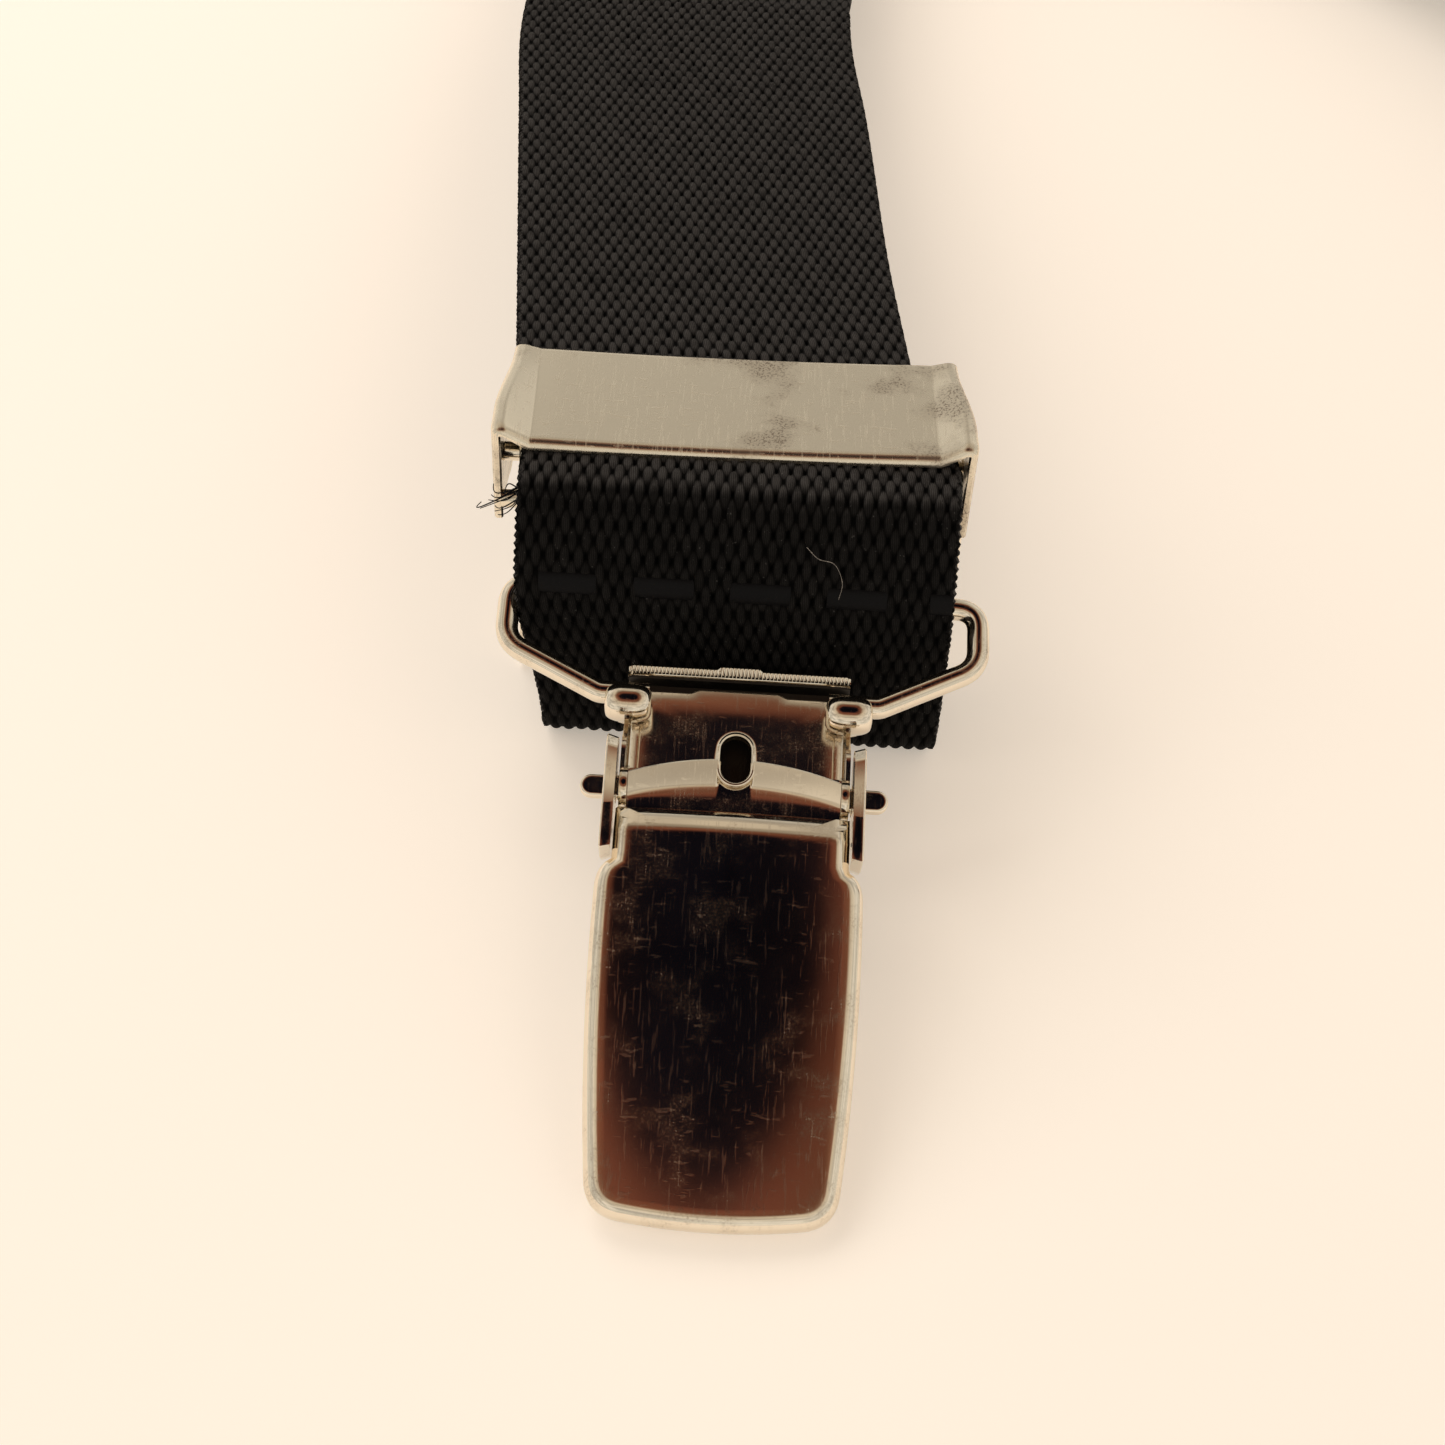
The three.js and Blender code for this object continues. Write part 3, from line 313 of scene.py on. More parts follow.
@dataclass(frozen=True)
class Plating(Finish):
    """Plated or bare metal with cloudy wear, fine scratches and pin-head speckles."""

    colour: tuple[float, float, float] = (0.84, 0.76, 0.63)
    worn: tuple[float, float, float] = (0.55, 0.47, 0.36)
    roughness: float = 0.06
    wear: float = 0.5
    cloud: float = 260.0
    scratches: float = 0.035
    ripple: float = 0.0

    def paint(self, graph: Graph, shader: bpy.types.Node) -> None:
        """Metal whose tint and gloss change in clouds.

        Args:
            graph: Node tree of the material.
            shader: The tree's surface shader.
        """
        place = graph.place()
        clouds = graph.noise(place, self.cloud, 4.0, 0.6)
        speckle = graph.noise(place, 5200.0, 2.0, 0.7)
        hairs = graph.noise(graph.stretched(place, (5200.0, 260.0, 900.0)), 1.0, 2.0, 0.6)
        slants = graph.noise(graph.stretched(place, (700.0, 2600.0, 500.0)), 1.0, 2.0, 0.6)
        patches = clouds.within(0.50, 0.64)
        grains = speckle.within(0.50, 0.62)
        worn = (patches * 0.3 + grains * patches * 0.8) * self.wear
        tint = graph.mix(worn, (*self.colour, 1.0), (*self.worn, 1.0))
        lines = hairs.within(0.60, 0.66) + slants.within(0.64, 0.69)
        height = lines * 0.5 + speckle * 0.25 + clouds * self.ripple
        self.put(
            shader,
            graph,
            Base_Color=tint,
            Metallic=1.0,
            Roughness=clouds * 0.08 + lines * 0.08 + worn * 0.22 + self.roughness,
            Normal=graph.bump(height, self.scratches, 0.00004),
        )


@dataclass(frozen=True)
class Elastic(Finish):
    """Woven elastic: rows of knitted beads, each a bundle of fine shiny filaments."""

    thread: float = 0.060
    # Colour between the beads: painted shade, near black where the recesses between beads fall into shadow.
    gap: float = 0.0004
    bead_width: float = 0.86
    bead_length: float = 0.92
    filaments: float = 44.0
    # How far faces turned toward -y are darkened: painted shade.
    flank_shade: float = 0.80

    def paint(self, graph: Graph, shader: bpy.types.Node) -> None:
        """Beads in a brick lattice, read from the map that counts columns and rows.

        Args:
            graph: Node tree of the material.
            shader: The tree's surface shader.
        """
        flat = graph.node("ShaderNodeUVMap", {"uv_map": "UVMap"}).outputs[0]
        split = graph.node("ShaderNodeSeparateXYZ", {}, {0: flat})
        column = Value(graph, split.outputs[0])
        row = Value(graph, split.outputs[1])
        place = graph.place()
        beads = None
        for shift in (0.0, 1.0):
            across = ((column + 0.5 * shift).fraction() - 0.5) * (2 / self.bead_width)
            along = (((row + shift) / 2.0).fraction() - 0.5) * (2 / self.bead_length)
            bead = 1.0 - (across * across + along * along)
            beads = bead if beads is None else beads.larger(bead)
        body = beads.within(0.10, 0.85)
        twist = column * self.filaments + row * 5.0 + graph.noise(place, 900.0) * 9.0
        filaments = twist.sine() * 0.5 + 0.5
        # Glints: painted highlights, fine random spots of brighter colour on the beads; the same spots are
        # also glossier.
        glints = graph.noise(place, 3800.0, 2.0, 0.7).within(0.66, 0.78)
        shade = graph.noise(place, 700.0, 4.0, 0.65)
        # Painted shade: the colour is darkened, by up to 80 %, where the surface faces -y, as the loop's
        # front does.
        facing = graph.node("ShaderNodeTexCoord").outputs["Normal"]
        toward = Value(graph, graph.node("ShaderNodeSeparateXYZ", {}, {0: facing}).outputs[1])
        painted_front_shade = 1.0 - (0.0 - toward).within(0.05, 0.6) * self.flank_shade
        strength = body * (filaments * 0.6 + 0.5) * (shade * 2.2 - 0.1) * painted_front_shade
        # Painted shade: each bead is brightest on its crown and fades to the near-black gap colour toward
        # its edges and between beads.
        dull = graph.mix(strength, grey(self.gap), grey(self.thread, (1.0, 0.93, 0.90)))
        lit = graph.mix(glints * body * 0.35, dull, grey(self.thread * 3.2, (1.0, 0.97, 0.94)))
        self.put(
            shader,
            graph,
            Base_Color=lit,
            Roughness=0.72 - glints * 0.25,
            Specular_IOR_Level=0.05,
            Normal=graph.bump(body * 0.7 + filaments * body * 0.3, 0.7, 0.0002),
        )


@dataclass(frozen=True)
class Thread(Finish):
    """Sewing thread or loose fibre: twisted, satin black or pale."""

    colour: tuple[float, float, float] = (0.008, 0.008, 0.010)

    def paint(self, graph: Graph, shader: bpy.types.Node) -> None:
        """Fine twist lines over a plain dye.

        Args:
            graph: Node tree of the material.
            shader: The tree's surface shader.
        """
        place = graph.place()
        twist = graph.noise(graph.stretched(place, (9000.0, 1200.0, 9000.0)), 1.0, 2.0)
        paler = tuple(min(1.0, part * 2.4) for part in self.colour)
        tint = graph.mix(twist.within(0.45, 0.75), (*self.colour, 1.0), (*paler, 1.0))
        self.put(
            shader,
            graph,
            Base_Color=tint,
            Roughness=twist * 0.3 + 0.35,
            Specular_IOR_Level=0.12,
            Normal=graph.bump(twist, 0.4, 0.00005),
        )


@dataclass(frozen=True)
class Leather(Finish):
    """Fine-grained dyed leather with creases and rubbed high spots."""

    colour: tuple[float, float, float] = (0.020, 0.017, 0.015)

    def paint(self, graph: Graph, shader: bpy.types.Node) -> None:
        """Pebbled grain from cells, with broad clouds of wear.

        Args:
            graph: Node tree of the material.
            shader: The tree's surface shader.
        """
        place = graph.place()
        settings = {"feature": "DISTANCE_TO_EDGE"}
        cells = graph.value("ShaderNodeTexVoronoi", settings, {"Vector": place, "Scale": 1100.0}, 0)
        grain = cells.within(0.0, 0.18)
        clouds = graph.noise(place, 90.0, 4.0)
        pores = graph.noise(place, 4200.0, 2.0)
        rubbed = tuple(part * 3.0 for part in self.colour)
        tint = graph.mix(clouds.within(0.5, 0.8) * grain * 0.6, (*self.colour, 1.0), (*rubbed, 1.0))
        self.put(
            shader,
            graph,
            Base_Color=tint,
            Roughness=0.62 - clouds * 0.2,
            Normal=graph.bump(grain * 0.8 + pores * 0.2, 0.35, 0.00012),
        )


@dataclass(frozen=True)
class SoftGrip(Finish):
    """Matt black moulded rubber."""

    def paint(self, graph: Graph, shader: bpy.types.Node) -> None:
        """Dusty black with moulding grain.

        Args:
            graph: Node tree of the material.
            shader: The tree's surface shader.
        """
        place = graph.place()
        grain = graph.noise(place, 2600.0, 3.0)
        tint = graph.mix(grain.within(0.5, 0.8), grey(0.010), grey(0.028))
        self.put(
            shader,
            graph,
            Base_Color=tint,
            Roughness=grain * 0.2 + 0.6,
            Normal=graph.bump(grain, 0.3, 0.0001),
        )


@dataclass(frozen=True)
class TableTop(Finish):
    """Plain cream sheet, faintly self-lit so that it stays even."""

    colour: tuple[float, float, float] = (0.90, 0.83, 0.76)
    glow: float = 0.36

    def paint(self, graph: Graph, shader: bpy.types.Node) -> None:
        """Even cream with a trace of paper tooth.

        Args:
            graph: Node tree of the material.
            shader: The tree's surface shader.
        """
        place = graph.place()
        tooth = graph.noise(place, 1500.0, 2.0)
        near = tuple(part * 0.995 for part in self.colour)
        self.put(
            shader,
            graph,
            Base_Color=graph.mix(tooth, (*self.colour, 1.0), (*near, 1.0)),
            Roughness=0.9,
            Specular_IOR_Level=0.0,
            Emission_Color=(1.0, 0.90, 0.775, 1.0),
            Emission_Strength=self.glow,
        )


BRIGHT_NICKEL = Plating("bright_nickel", "bright_nickel", ripple=0.5)
SATIN_NICKEL = Plating(
    "satin_nickel",
    "satin_nickel",
    colour=(0.80, 0.72, 0.58),
    worn=(0.34, 0.28, 0.22),
    roughness=0.22,
    wear=1.0,
    cloud=110.0,
    scratches=0.3,
    ripple=1.5,
)
# Nickel darkened to near black: painted shade, a dark finish standing for the shadow that fills the jaw seen
# through the clip's slot.
PAINTED_SHADE_NICKEL = Plating(
    "painted_shade_nickel",
    "satin_nickel",
    colour=(0.045, 0.04, 0.035),
    worn=(0.05, 0.045, 0.04),
    roughness=0.4,
    scratches=0.25,
)
SPRING_STEEL = Plating(
    "spring_steel", "spring_steel", colour=(0.45, 0.44, 0.43), roughness=0.3, scratches=0.3
)
ELASTIC = Elastic("elastic_webbing", "elastic_webbing")
BLACK_THREAD = Thread("black_thread", "elastic_webbing")
HEAD_NICKEL = Plating(
    "head_nickel", "bright_nickel", roughness=0.10, wear=0.5, scratches=0.08, ripple=0.2
)
SATIN_THREAD = Thread("satin_thread", "elastic_webbing", colour=(0.0016, 0.0016, 0.0022))
PALE_FIBRE = Thread("pale_fibre", "elastic_webbing", colour=(0.22, 0.20, 0.18))
PATCH_LEATHER = Leather("patch_leather", "patch_leather")
GRIP_RUBBER = SoftGrip("grip_rubber", "grip_rubber")
CREAM_TABLE = TableTop("cream_table", "")


# ---- mesh helpers -------------------------------------------------------------------------------


@dataclass
class Shell:
    """Points, faces and map places of one closed surface, before it becomes an object."""

    points: np.ndarray
    faces: list
    places: np.ndarray | None = None

    def merged(self, other: "Shell") -> "Shell":
        """Both surfaces together.

        Args:
            other: The surface to add.

        Returns:
            Both, this one's points first.
        """
        shifted = [[corner + len(self.points) for corner in face] for face in other.faces]
        places = None
        if self.places is not None and other.places is not None:
            places = np.vstack([self.places, other.places])
        return Shell(np.vstack([self.points, other.points]), self.faces + shifted, places)


def loft(rings: np.ndarray, places: np.ndarray | None = None, round_trip: bool = False) -> Shell:
    """Skin a stack of closed rings.

    Args:
        rings: Points as (ring, place round it, xyz).
        places: Map places of the same layout.
        round_trip: True where the last ring joins the first one.

    Returns:
        The surface; its two ends are closed unless it is a round trip.
    """
    count, around = rings.shape[:2]
    steps = np.arange(count if round_trip else count - 1)[:, None]
    here = np.arange(around)[None, :]
    after = (here + 1) % around
    above = (steps + 1) % count
    quads = np.stack(
        [steps * around + here, steps * around + after, above * around + after, above * around + here],
        axis=-1,
    )
    faces = quads.reshape(-1, 4).tolist()
    if not round_trip:
        faces.append(list(range(around))[::-1])
        faces.append(list(range((count - 1) * around, count * around)))
    flat = None if places is None else places.reshape(-1, 2)
    return Shell(rings.reshape(-1, 3), faces, flat)


def make(name: str, shell: Shell, finish: Finish, place: Matrix, angle: float = 40.0) -> bpy.types.Object:
    """Turn a surface into an object.

    Args:
        name: Name of the piece.
        shell: Its surface, in the frame that place gives.
        finish: Its finish.
        place: Frame of the surface.
        angle: Sharpest fold, in degrees, that is still shaded smooth.

    Returns:
        The object, standing at the origin with its place in its mesh.
    """
    mesh = bpy.data.meshes.new(name)
    mesh.from_pydata(shell.points.tolist(), [], shell.faces)
    if shell.places is not None:
        corners = np.empty(len(mesh.loops), np.int32)
        mesh.loops.foreach_get("vertex_index", corners)
        layer = mesh.uv_layers.new(name="UVMap")
        layer.data.foreach_set("uv", shell.places[corners].astype(np.float32).ravel())
    mesh.transform(place)
    body = bmesh.new()
    body.from_mesh(mesh)
    bmesh.ops.remove_doubles(body, verts=body.verts, dist=1e-7)
    bmesh.ops.recalc_face_normals(body, faces=body.faces)
    body.to_mesh(mesh)
    body.free()
    made = bpy.data.objects.new(name, mesh)
    bpy.context.scene.collection.objects.link(made)
    dress(made, finish, angle)
    return made


def dress(piece: bpy.types.Object, finish: Finish, angle: float = 40.0) -> None:
    """Give a piece its finish and smooth shading up to an angle in degrees.

    Args:
        piece: The piece.
        finish: Its finish.
        angle: Sharpest fold that is still shaded smooth.
    """
    mesh = piece.data
    mesh.materials.clear()
    mesh.materials.append(finish.material())
    mesh.polygons.foreach_set("use_smooth", [True] * len(mesh.polygons))
    mesh.set_sharp_from_angle(angle=math.radians(angle))


def gathered(shells: list[Shell]) -> Shell:
    """Several surfaces as one."""
    return reduce(Shell.merged, shells)


def runs_of(line: np.ndarray) -> np.ndarray:
    """Length along a line up to each of its points."""
    return np.concatenate([[0], np.cumsum(np.linalg.norm(np.diff(line, axis=0), axis=1))])


def unit(ways: np.ndarray) -> np.ndarray:
    """Vectors brought to length 1."""
    return ways / np.linalg.norm(ways, axis=1)[:, None]


def circle(turns: np.ndarray) -> np.ndarray:
    """Points of the unit circle at some angles."""
    return np.stack([np.cos(turns), np.sin(turns)], axis=1)


def whole_turn(count: int) -> np.ndarray:
    """Evenly spaced angles once round."""
    return np.linspace(0, 2 * math.pi, count, endpoint=False)


def bend(start: np.ndarray, pull: np.ndarray, end: np.ndarray, share: np.ndarray) -> np.ndarray:
    """Points of a curve from start to end that leaves and arrives toward pull."""
    return (1 - share) ** 2 * start + 2 * share * (1 - share) * pull + share**2 * end


def raised(edge: np.ndarray, height: float) -> np.ndarray:
    """A flat outline set at a height."""
    return np.column_stack([edge, np.full(len(edge), height)])


def sliced(x: float, ring: np.ndarray) -> np.ndarray:
    """A ring in (y, z) set at a sideways place."""
    return np.column_stack([np.full(len(ring), x), ring])


def smooth_step(value: np.ndarray) -> np.ndarray:
    """0 below 0, 1 above 1 and a soft step between."""
    held = np.clip(value, 0.0, 1.0)
    return held * held * (3 - 2 * held)


def along_spline(knots: list[tuple[float, float]], steps: int) -> np.ndarray:
    """A smooth line through points, with the same rule as the solid part's curves.

    Args:
        knots: Points to pass through.
        steps: How many points to read off.

    Returns:
        Points along the line.
    """
    knots = np.array(knots, float)
    padded = np.vstack([2 * knots[0] - knots[1], knots, 2 * knots[-1] - knots[-2]])
    share = np.linspace(0, len(knots) - 1 - 1e-9, steps)
    index = share.astype(int)
    t = (share - index)[:, None]
    a, b, c, d = (padded[index + shift] for shift in range(4))
    return 0.5 * (2 * b + (c - a) * t + (2 * a - 5 * b + 4 * c - d) * t**2 + (3 * b - a - 3 * c + d) * t**3)


def filleted(corners: list[tuple[float, float]], radii: list[float], steps: int = 8) -> np.ndarray:
    """A line through corners with each inner corner rounded.

    Args:
        corners: Corner points.
        radii: Bend radius of each inner corner.
        steps: Points on each bend.

    Returns:
        The rounded line's points.
    """
    points = [np.array(corners[0], float)]
    for index, radius in enumerate(radii, start=1):
        corner = np.array(corners[index], float)
        into = corner - np.array(corners[index - 1], float)
        out = np.array(corners[index + 1], float) - corner
        into /= np.linalg.norm(into)
        out /= np.linalg.norm(out)
        cut = radius * math.tan(math.acos(np.clip(into @ out, -1, 1)) / 2)
        share = np.linspace(0, 1, steps)[:, None]
        start, end = corner - into * cut, corner + out * cut
        points.extend(bend(start, corner, end, share))
    points.append(np.array(corners[-1], float))
    return np.array(points)


def tube(line: np.ndarray, radius: float, sides: int = 20, taper: float = 1.0) -> Shell:
    """A round tube along a line in space.

    Args:
        line: Points as (index, xyz).
        radius: Radius at the first point.
        sides: Points round the tube.
        taper: Radius at the last point as a share of the first.

    Returns:
        The closed surface.
    """
    along = unit(np.gradient(line, axis=0))
    side = np.cross(along[0], (0.3, 0.1, 1.0))
    rings = []
    turns = whole_turn(sides)
    for index, (point, ahead) in enumerate(zip(line, along)):
        side = side - ahead * (side @ ahead)
        side /= np.linalg.norm(side)
        other = np.cross(ahead, side)
        size = radius * (1 + (taper - 1) * index / (len(line) - 1))
        rings.append(point + size * (np.cos(turns)[:, None] * side + np.sin(turns)[:, None] * other))
    return loft(np.array(rings))


def around(outline: np.ndarray, centre: tuple[float, float], count: int = 160) -> np.ndarray:
    """A closed outline read off at even angles about a centre inside it.

    Args:
        outline: Points of the outline.
        centre: The centre.
        count: How many angles.

    Returns:
        Points, one for each angle, anticlockwise.
    """
    spread = resampled(outline, 4000)
    offset = spread - np.array(centre)
    angle = np.mod(np.arctan2(offset[:, 1], offset[:, 0]), 2 * math.pi)
    order = np.argsort(angle)
    wanted = whole_turn(count)
    reach = np.linalg.norm(offset[order], axis=1)
    read = np.interp(wanted, angle[order], reach, period=2 * math.pi)
    return np.array(centre) + read[:, None] * circle(wanted)


def pierced(
    outline: np.ndarray, hole: np.ndarray, low: float, high: float, edge: float, lip: float = 0.0
) -> Shell:
    """A plate with one hole, its edges rounded.

    Args:
        outline: Outer edge, one point for each angle.
        hole: Edge of the hole, at the same angles.
        low: Height of the plate's back.
        high: Height of its face.
        edge: Width of the rounding.
        lip: How far the face stands up round the hole.

    Returns:
        The closed surface.
    """
    rings = []
    away = unit(outline - hole)

    def ring(share: float, height: float, inward: float = 0.0, outward: float = 0.0) -> None:
        """Add one ring at a share of the way from the hole to the outer edge.

        Args:
            share: 0 at the hole, 1 at the outer edge.
            height: Height of the ring.
            inward: How far it is drawn toward the hole.
            outward: How far it is pushed away from it.
        """
        flat = hole * (1 - share) + outline * share
        rings.append(raised(flat - away * inward + away * outward, height))

    ring(0.0, low)
    ring(1.0, low, inward=edge)
    for turn in np.linspace(0, math.pi / 2, 5)[1:]:
        ring(1.0, high - edge + edge * math.sin(turn), inward=edge * (1 - math.cos(turn)))
    for share in (0.8, 0.55, 0.32):
        ring(share, high)
    for outward, rise in ((0.55, 0.0), (0.42, 0.0), (0.30, 0.5), (0.18, 1.0), (0.05, 0.6)):
        ring(0.0, high + lip * rise, outward=outward * MM)
    ring(0.0, high - 0.1 * MM)
    return loft(np.array(rings), round_trip=True)


def inset(outline: np.ndarray, distance: float) -> np.ndarray:
    """A closed outline moved inward by an even distance.

    Args:
        outline: Points of the outline.
        distance: How far.

    Returns:
        As many points, moved.
    """
    following = np.roll(outline, -1, axis=0)
    before = unit(outline - np.roll(outline, 1, axis=0))
    after = unit(following - outline)
    along = unit(before + after)
    area = np.sum(outline[:, 0] * following[:, 1] - outline[:, 1] * following[:, 0])
    normal = np.stack([-along[:, 1], along[:, 0]], axis=1) * np.sign(area)
    stretch = np.clip(np.sum(along * after, axis=1), 0.6, 1.0)[:, None]
    return outline + normal * distance / stretch


def resampled(outline: np.ndarray, count: int) -> np.ndarray:
    """A closed outline with evenly spaced points.

    Args:
        outline: Points of the outline.
        count: How many points to read off.

    Returns:
        The new points.
    """
    closed = np.vstack([outline, outline[:1]])
    length = runs_of(closed)
    wanted = np.linspace(0, length[-1], count, endpoint=False)
    return np.stack([np.interp(wanted, length, closed[:, axis]) for axis in (0, 1)], axis=1)


def machined(node: str, name: str, finish: Finish, edge: float = 0.12 * MM) -> bpy.types.Object:
    """A finished copy of a solid piece, its sharp edges broken as by tumbling.

    Args:
        node: Name of the solid piece.
        name: Name of the copy.
        finish: Its finish.
        edge: Width of the broken edges.

    Returns:
        The copy, not yet riding on a body.
    """
    mesh = frame["nodes"][node].data.copy()
    mesh.name = name
    body = bmesh.new()
    body.from_mesh(mesh)
    bmesh.ops.remove_doubles(body, verts=body.verts, dist=2e-6)
    flat_angle = math.radians(1.0)
    bmesh.ops.dissolve_limit(body, angle_limit=flat_angle, verts=body.verts, edges=body.edges)
    body.to_mesh(mesh)
    body.free()
    made = bpy.data.objects.new(name, mesh)
    bpy.context.scene.collection.objects.link(made)
    soften = made.modifiers.new("edges", "BEVEL")
    soften.width = edge
    soften.segments = 2
    soften.limit_method = "ANGLE"
    soften.angle_limit = math.radians(40)
    soften.use_clamp_overlap = True
    made.data = applied(made)
    made.modifiers.clear()
    dress(made, finish, 32.0)
    return made


def applied(piece: bpy.types.Object) -> bpy.types.Mesh:
    """A piece's mesh with its modifiers worked in.

    Args:
        piece: The piece.

    Returns:
        A new mesh.
    """
    bpy.context.view_layer.update()
    evaluated = piece.evaluated_get(bpy.context.evaluated_depsgraph_get())
    return bpy.data.meshes.new_from_object(evaluated)


def joint(name: str) -> dict:
    """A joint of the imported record, by name."""
    return next(entry for entry in frame["joints"] if entry["name"] == name)


# ---- where things lie ---------------------------------------------------------------------------


def frame_of(x: Vector, y: Vector, origin: Vector) -> Matrix:
    """A frame from two of its axes and its origin.

    Args:
        x: Its x axis.
        y: Its y axis.
        origin: Its origin.

    Returns:
        The frame.
    """
    made = Matrix((x, y, x.cross(y))).transposed().to_4x4()
    made.translation = origin
    return made


@dataclass
class Lay:
    """Frames of one clip end: on the table below the hooks, in the clip and in its lever."""

    side: Side
    table: Matrix = field(init=False)
    clip: Matrix = field(init=False)
    lever: Matrix = field(init=False)
    bar: tuple[float, float] = field(init=False)
    lever_lean: float = math.radians(3)

    def __post_init__(self) -> None:
        """Read the frames off the joints."""
        hook = Vector(joint(f"{self.side.prefix}_clip_tilt")["pos_m"])
        bar = Vector(joint(f"{self.side.prefix}_bail_swing")["pos_m"])
        across = -Vector(joint(f"{self.side.prefix}_clip_tilt")["axis"]).normalized()
        up_clip = (bar - hook).normalized()
        self.table = frame_of(across, UP.cross(across), Vector((hook.x, hook.y, 0)))
        self.clip = frame_of(across, up_clip, hook)
        pivot = Vector(joint(f"{self.side.prefix}_clip_lever_open")["pos_m"])
        leaned = Matrix.Rotation(self.lever_lean, 3, across) @ up_clip
        self.lever = frame_of(across, leaned, pivot)
        local = self.table.inverted() @ bar
        self.bar = (local.y, local.z)


# ---- straps -------------------------------------------------------------------------------------


@dataclass
class Webbing:
    """The woven elastic itself: width, thickness and the pitch of its beads."""

    width: float = 34.8 * MM
    thickness: float = 1.15 * MM
    column: float = 1.13 * MM
    row: float = 1.32 * MM
    relief: float = 0.42 * MM
    per_column: int = 7
    step: float = 0.2 * MM
    back_columns: int = 33
    dash_shift: float = 1.75 * MM
    dash_pitch: float = 7.7 * MM
    dash_half_length: float = 2.4 * MM
    dash_half_height: float = 0.95 * MM

    def beads(self, across: np.ndarray, along: np.ndarray) -> np.ndarray:
        """Height of the knitted beads, 0 in the gaps and 1 on the crowns.

        Args:
            across: Places across the strap, in columns.
            along: Places along it, in rows.

        Returns:
            Heights of the same shape.
        """
        wander = 0.10 * np.sin(along * 0.83 + across * 1.7) + 0.07 * np.sin(across * 5.1 - along * 0.37)
        best = np.zeros(np.broadcast(across, along).shape)
        for shift in (0.0, 1.0):
            lane = across + 0.5 * shift
            rank = (along + shift + wander) / 2
            x = (np.mod(lane, 1.0) - 0.5) * 2 / 0.98
            y = (np.mod(rank, 1.0) - 0.5) * 2 / 0.82
            pointed = np.clip(1.02 - 0.30 * np.clip(y, 0, 1) ** 2, 0.4, 1.1)
            dome = np.sqrt(np.clip(1 - (x / pointed) ** 2 - y**2, 0, 1))
            cell = np.sin(np.floor(lane) * 12.9898 + np.floor(rank) * 78.233) * 43758.5453
            best = np.maximum(best, dome * (0.84 + 0.16 * np.mod(cell, 1.0)))
        return best

    def band(
        self,
        line: np.ndarray,
        drift: Course,
        start: float,
        fine: bool,
        narrow: Limits | None = None,
        dashes: float | None = None,
        girth: Course | None = None,
    ) -> Shell:
        """A length of strap along a line in (y, z).

        Args:
            line: Points of the strap's middle.
            drift: Sideways place of the strap's middle, from its y and z.
            start: Length of strap before the line's first point.
            fine: True for modelled beads, False for a plain band.
            narrow: Lowest and highest x allowed, from y.
            dashes: Length along the line of a row of flat sewn dashes.
            girth: Share of the full width, from y and z.

        Returns:
            The closed surface, mapped in columns and rows.
        """
        runs = runs_of(line)
        if fine:
            wanted = np.arange(0, runs[-1], self.step)
        else:
            pieces = [np.linspace(a, b, max(2, int((b - a) / (4 * MM)) + 2)) for a, b in zip(runs, runs[1:])]
            wanted = np.unique(np.round(np.concatenate(pieces), 7))
        middle = np.stack([np.interp(wanted, runs, line[:, axis]) for axis in (0, 1)], axis=1)
        ahead = unit(np.gradient(middle, wanted, axis=0))
        normal = np.stack([-ahead[:, 1], ahead[:, 0]], axis=1)
        columns = self.width / self.column
        count = int(columns * (self.per_column if fine else 1)) + 1
        top = np.linspace(-1, 1, count)
        bottom = np.linspace(1, -1, self.back_columns)
        bulge = np.array([0.62, 0.0, -0.62])
        across = np.concatenate([top, 1 + 0.012 * (1 - bulge**2), bottom, -1 - 0.012 * (1 - bulge**2)])
        level = np.concatenate([np.ones(count), bulge, -np.ones(len(bottom)), -bulge[::-1]])
        rows = (start + wanted) / self.row
        lanes = across * columns / 2
        height = np.ones((len(wanted), len(across)))
        if fine:
            bumps = self.beads(lanes[None, :], rows[:, None])
            if dashes is not None:
                flat = self._dashes(across[None, :] * self.width / 2, wanted[:, None] - dashes)
                bumps = bumps * (1 - flat) + 0.30 * flat
            rim = smooth_step((1.0 - np.abs(across)) / 0.03)[None, :]
            swell = (bumps * 1.15 - 0.55) * 2 * self.relief / self.thickness * (0.4 + 0.6 * rim)
            height[:, :count] += swell[:, :count]
        teeth = 1 + 0.006 * np.cos(4 * np.pi * rows)[:, None] * (np.abs(across) > 0.985)[None, :]
        drawn = np.ones(len(middle)) if girth is None else girth(middle[:, 0], middle[:, 1])
        offset = np.asarray(drift(middle[:, 0], middle[:, 1]))
        x = across[None, :] * self.width / 2 * teeth * drawn[:, None] + offset[:, None]
        if narrow is not None:
            low, high = narrow(middle[:, 0])
            x = np.clip(x, low[:, None], high[:, None])
        lift = (level[None, :] * height * self.thickness / 2)[..., None]
        flatwise = middle[:, None, :] + normal[:, None, :] * lift
        rings = np.concatenate([x[..., None], flatwise], axis=2)
        places = np.stack(np.broadcast_arrays(lanes[None, :], rows[:, None]), axis=-1)
        return loft(rings, places)

    def _dashes(self, x: np.ndarray, along: np.ndarray) -> np.ndarray:
        """1 inside the flat dashes of a row, 0 outside.

        Args:
            x: Sideways places.
            along: Places along the strap, from the row's middle.

        Returns:
            Shares of the same shape.
        """
        cycle = np.mod(x + self.dash_shift, self.dash_pitch) - self.dash_pitch / 2
        inside = smooth_step((self.dash_half_length - np.abs(cycle)) / (0.35 * MM) + 0.5)
        return inside * smooth_step((self.dash_half_height - np.abs(along)) / (0.3 * MM) + 0.5)


def length_of(line: np.ndarray) -> float:
    """Length of a line of points."""
    return float(runs_of(line)[-1])


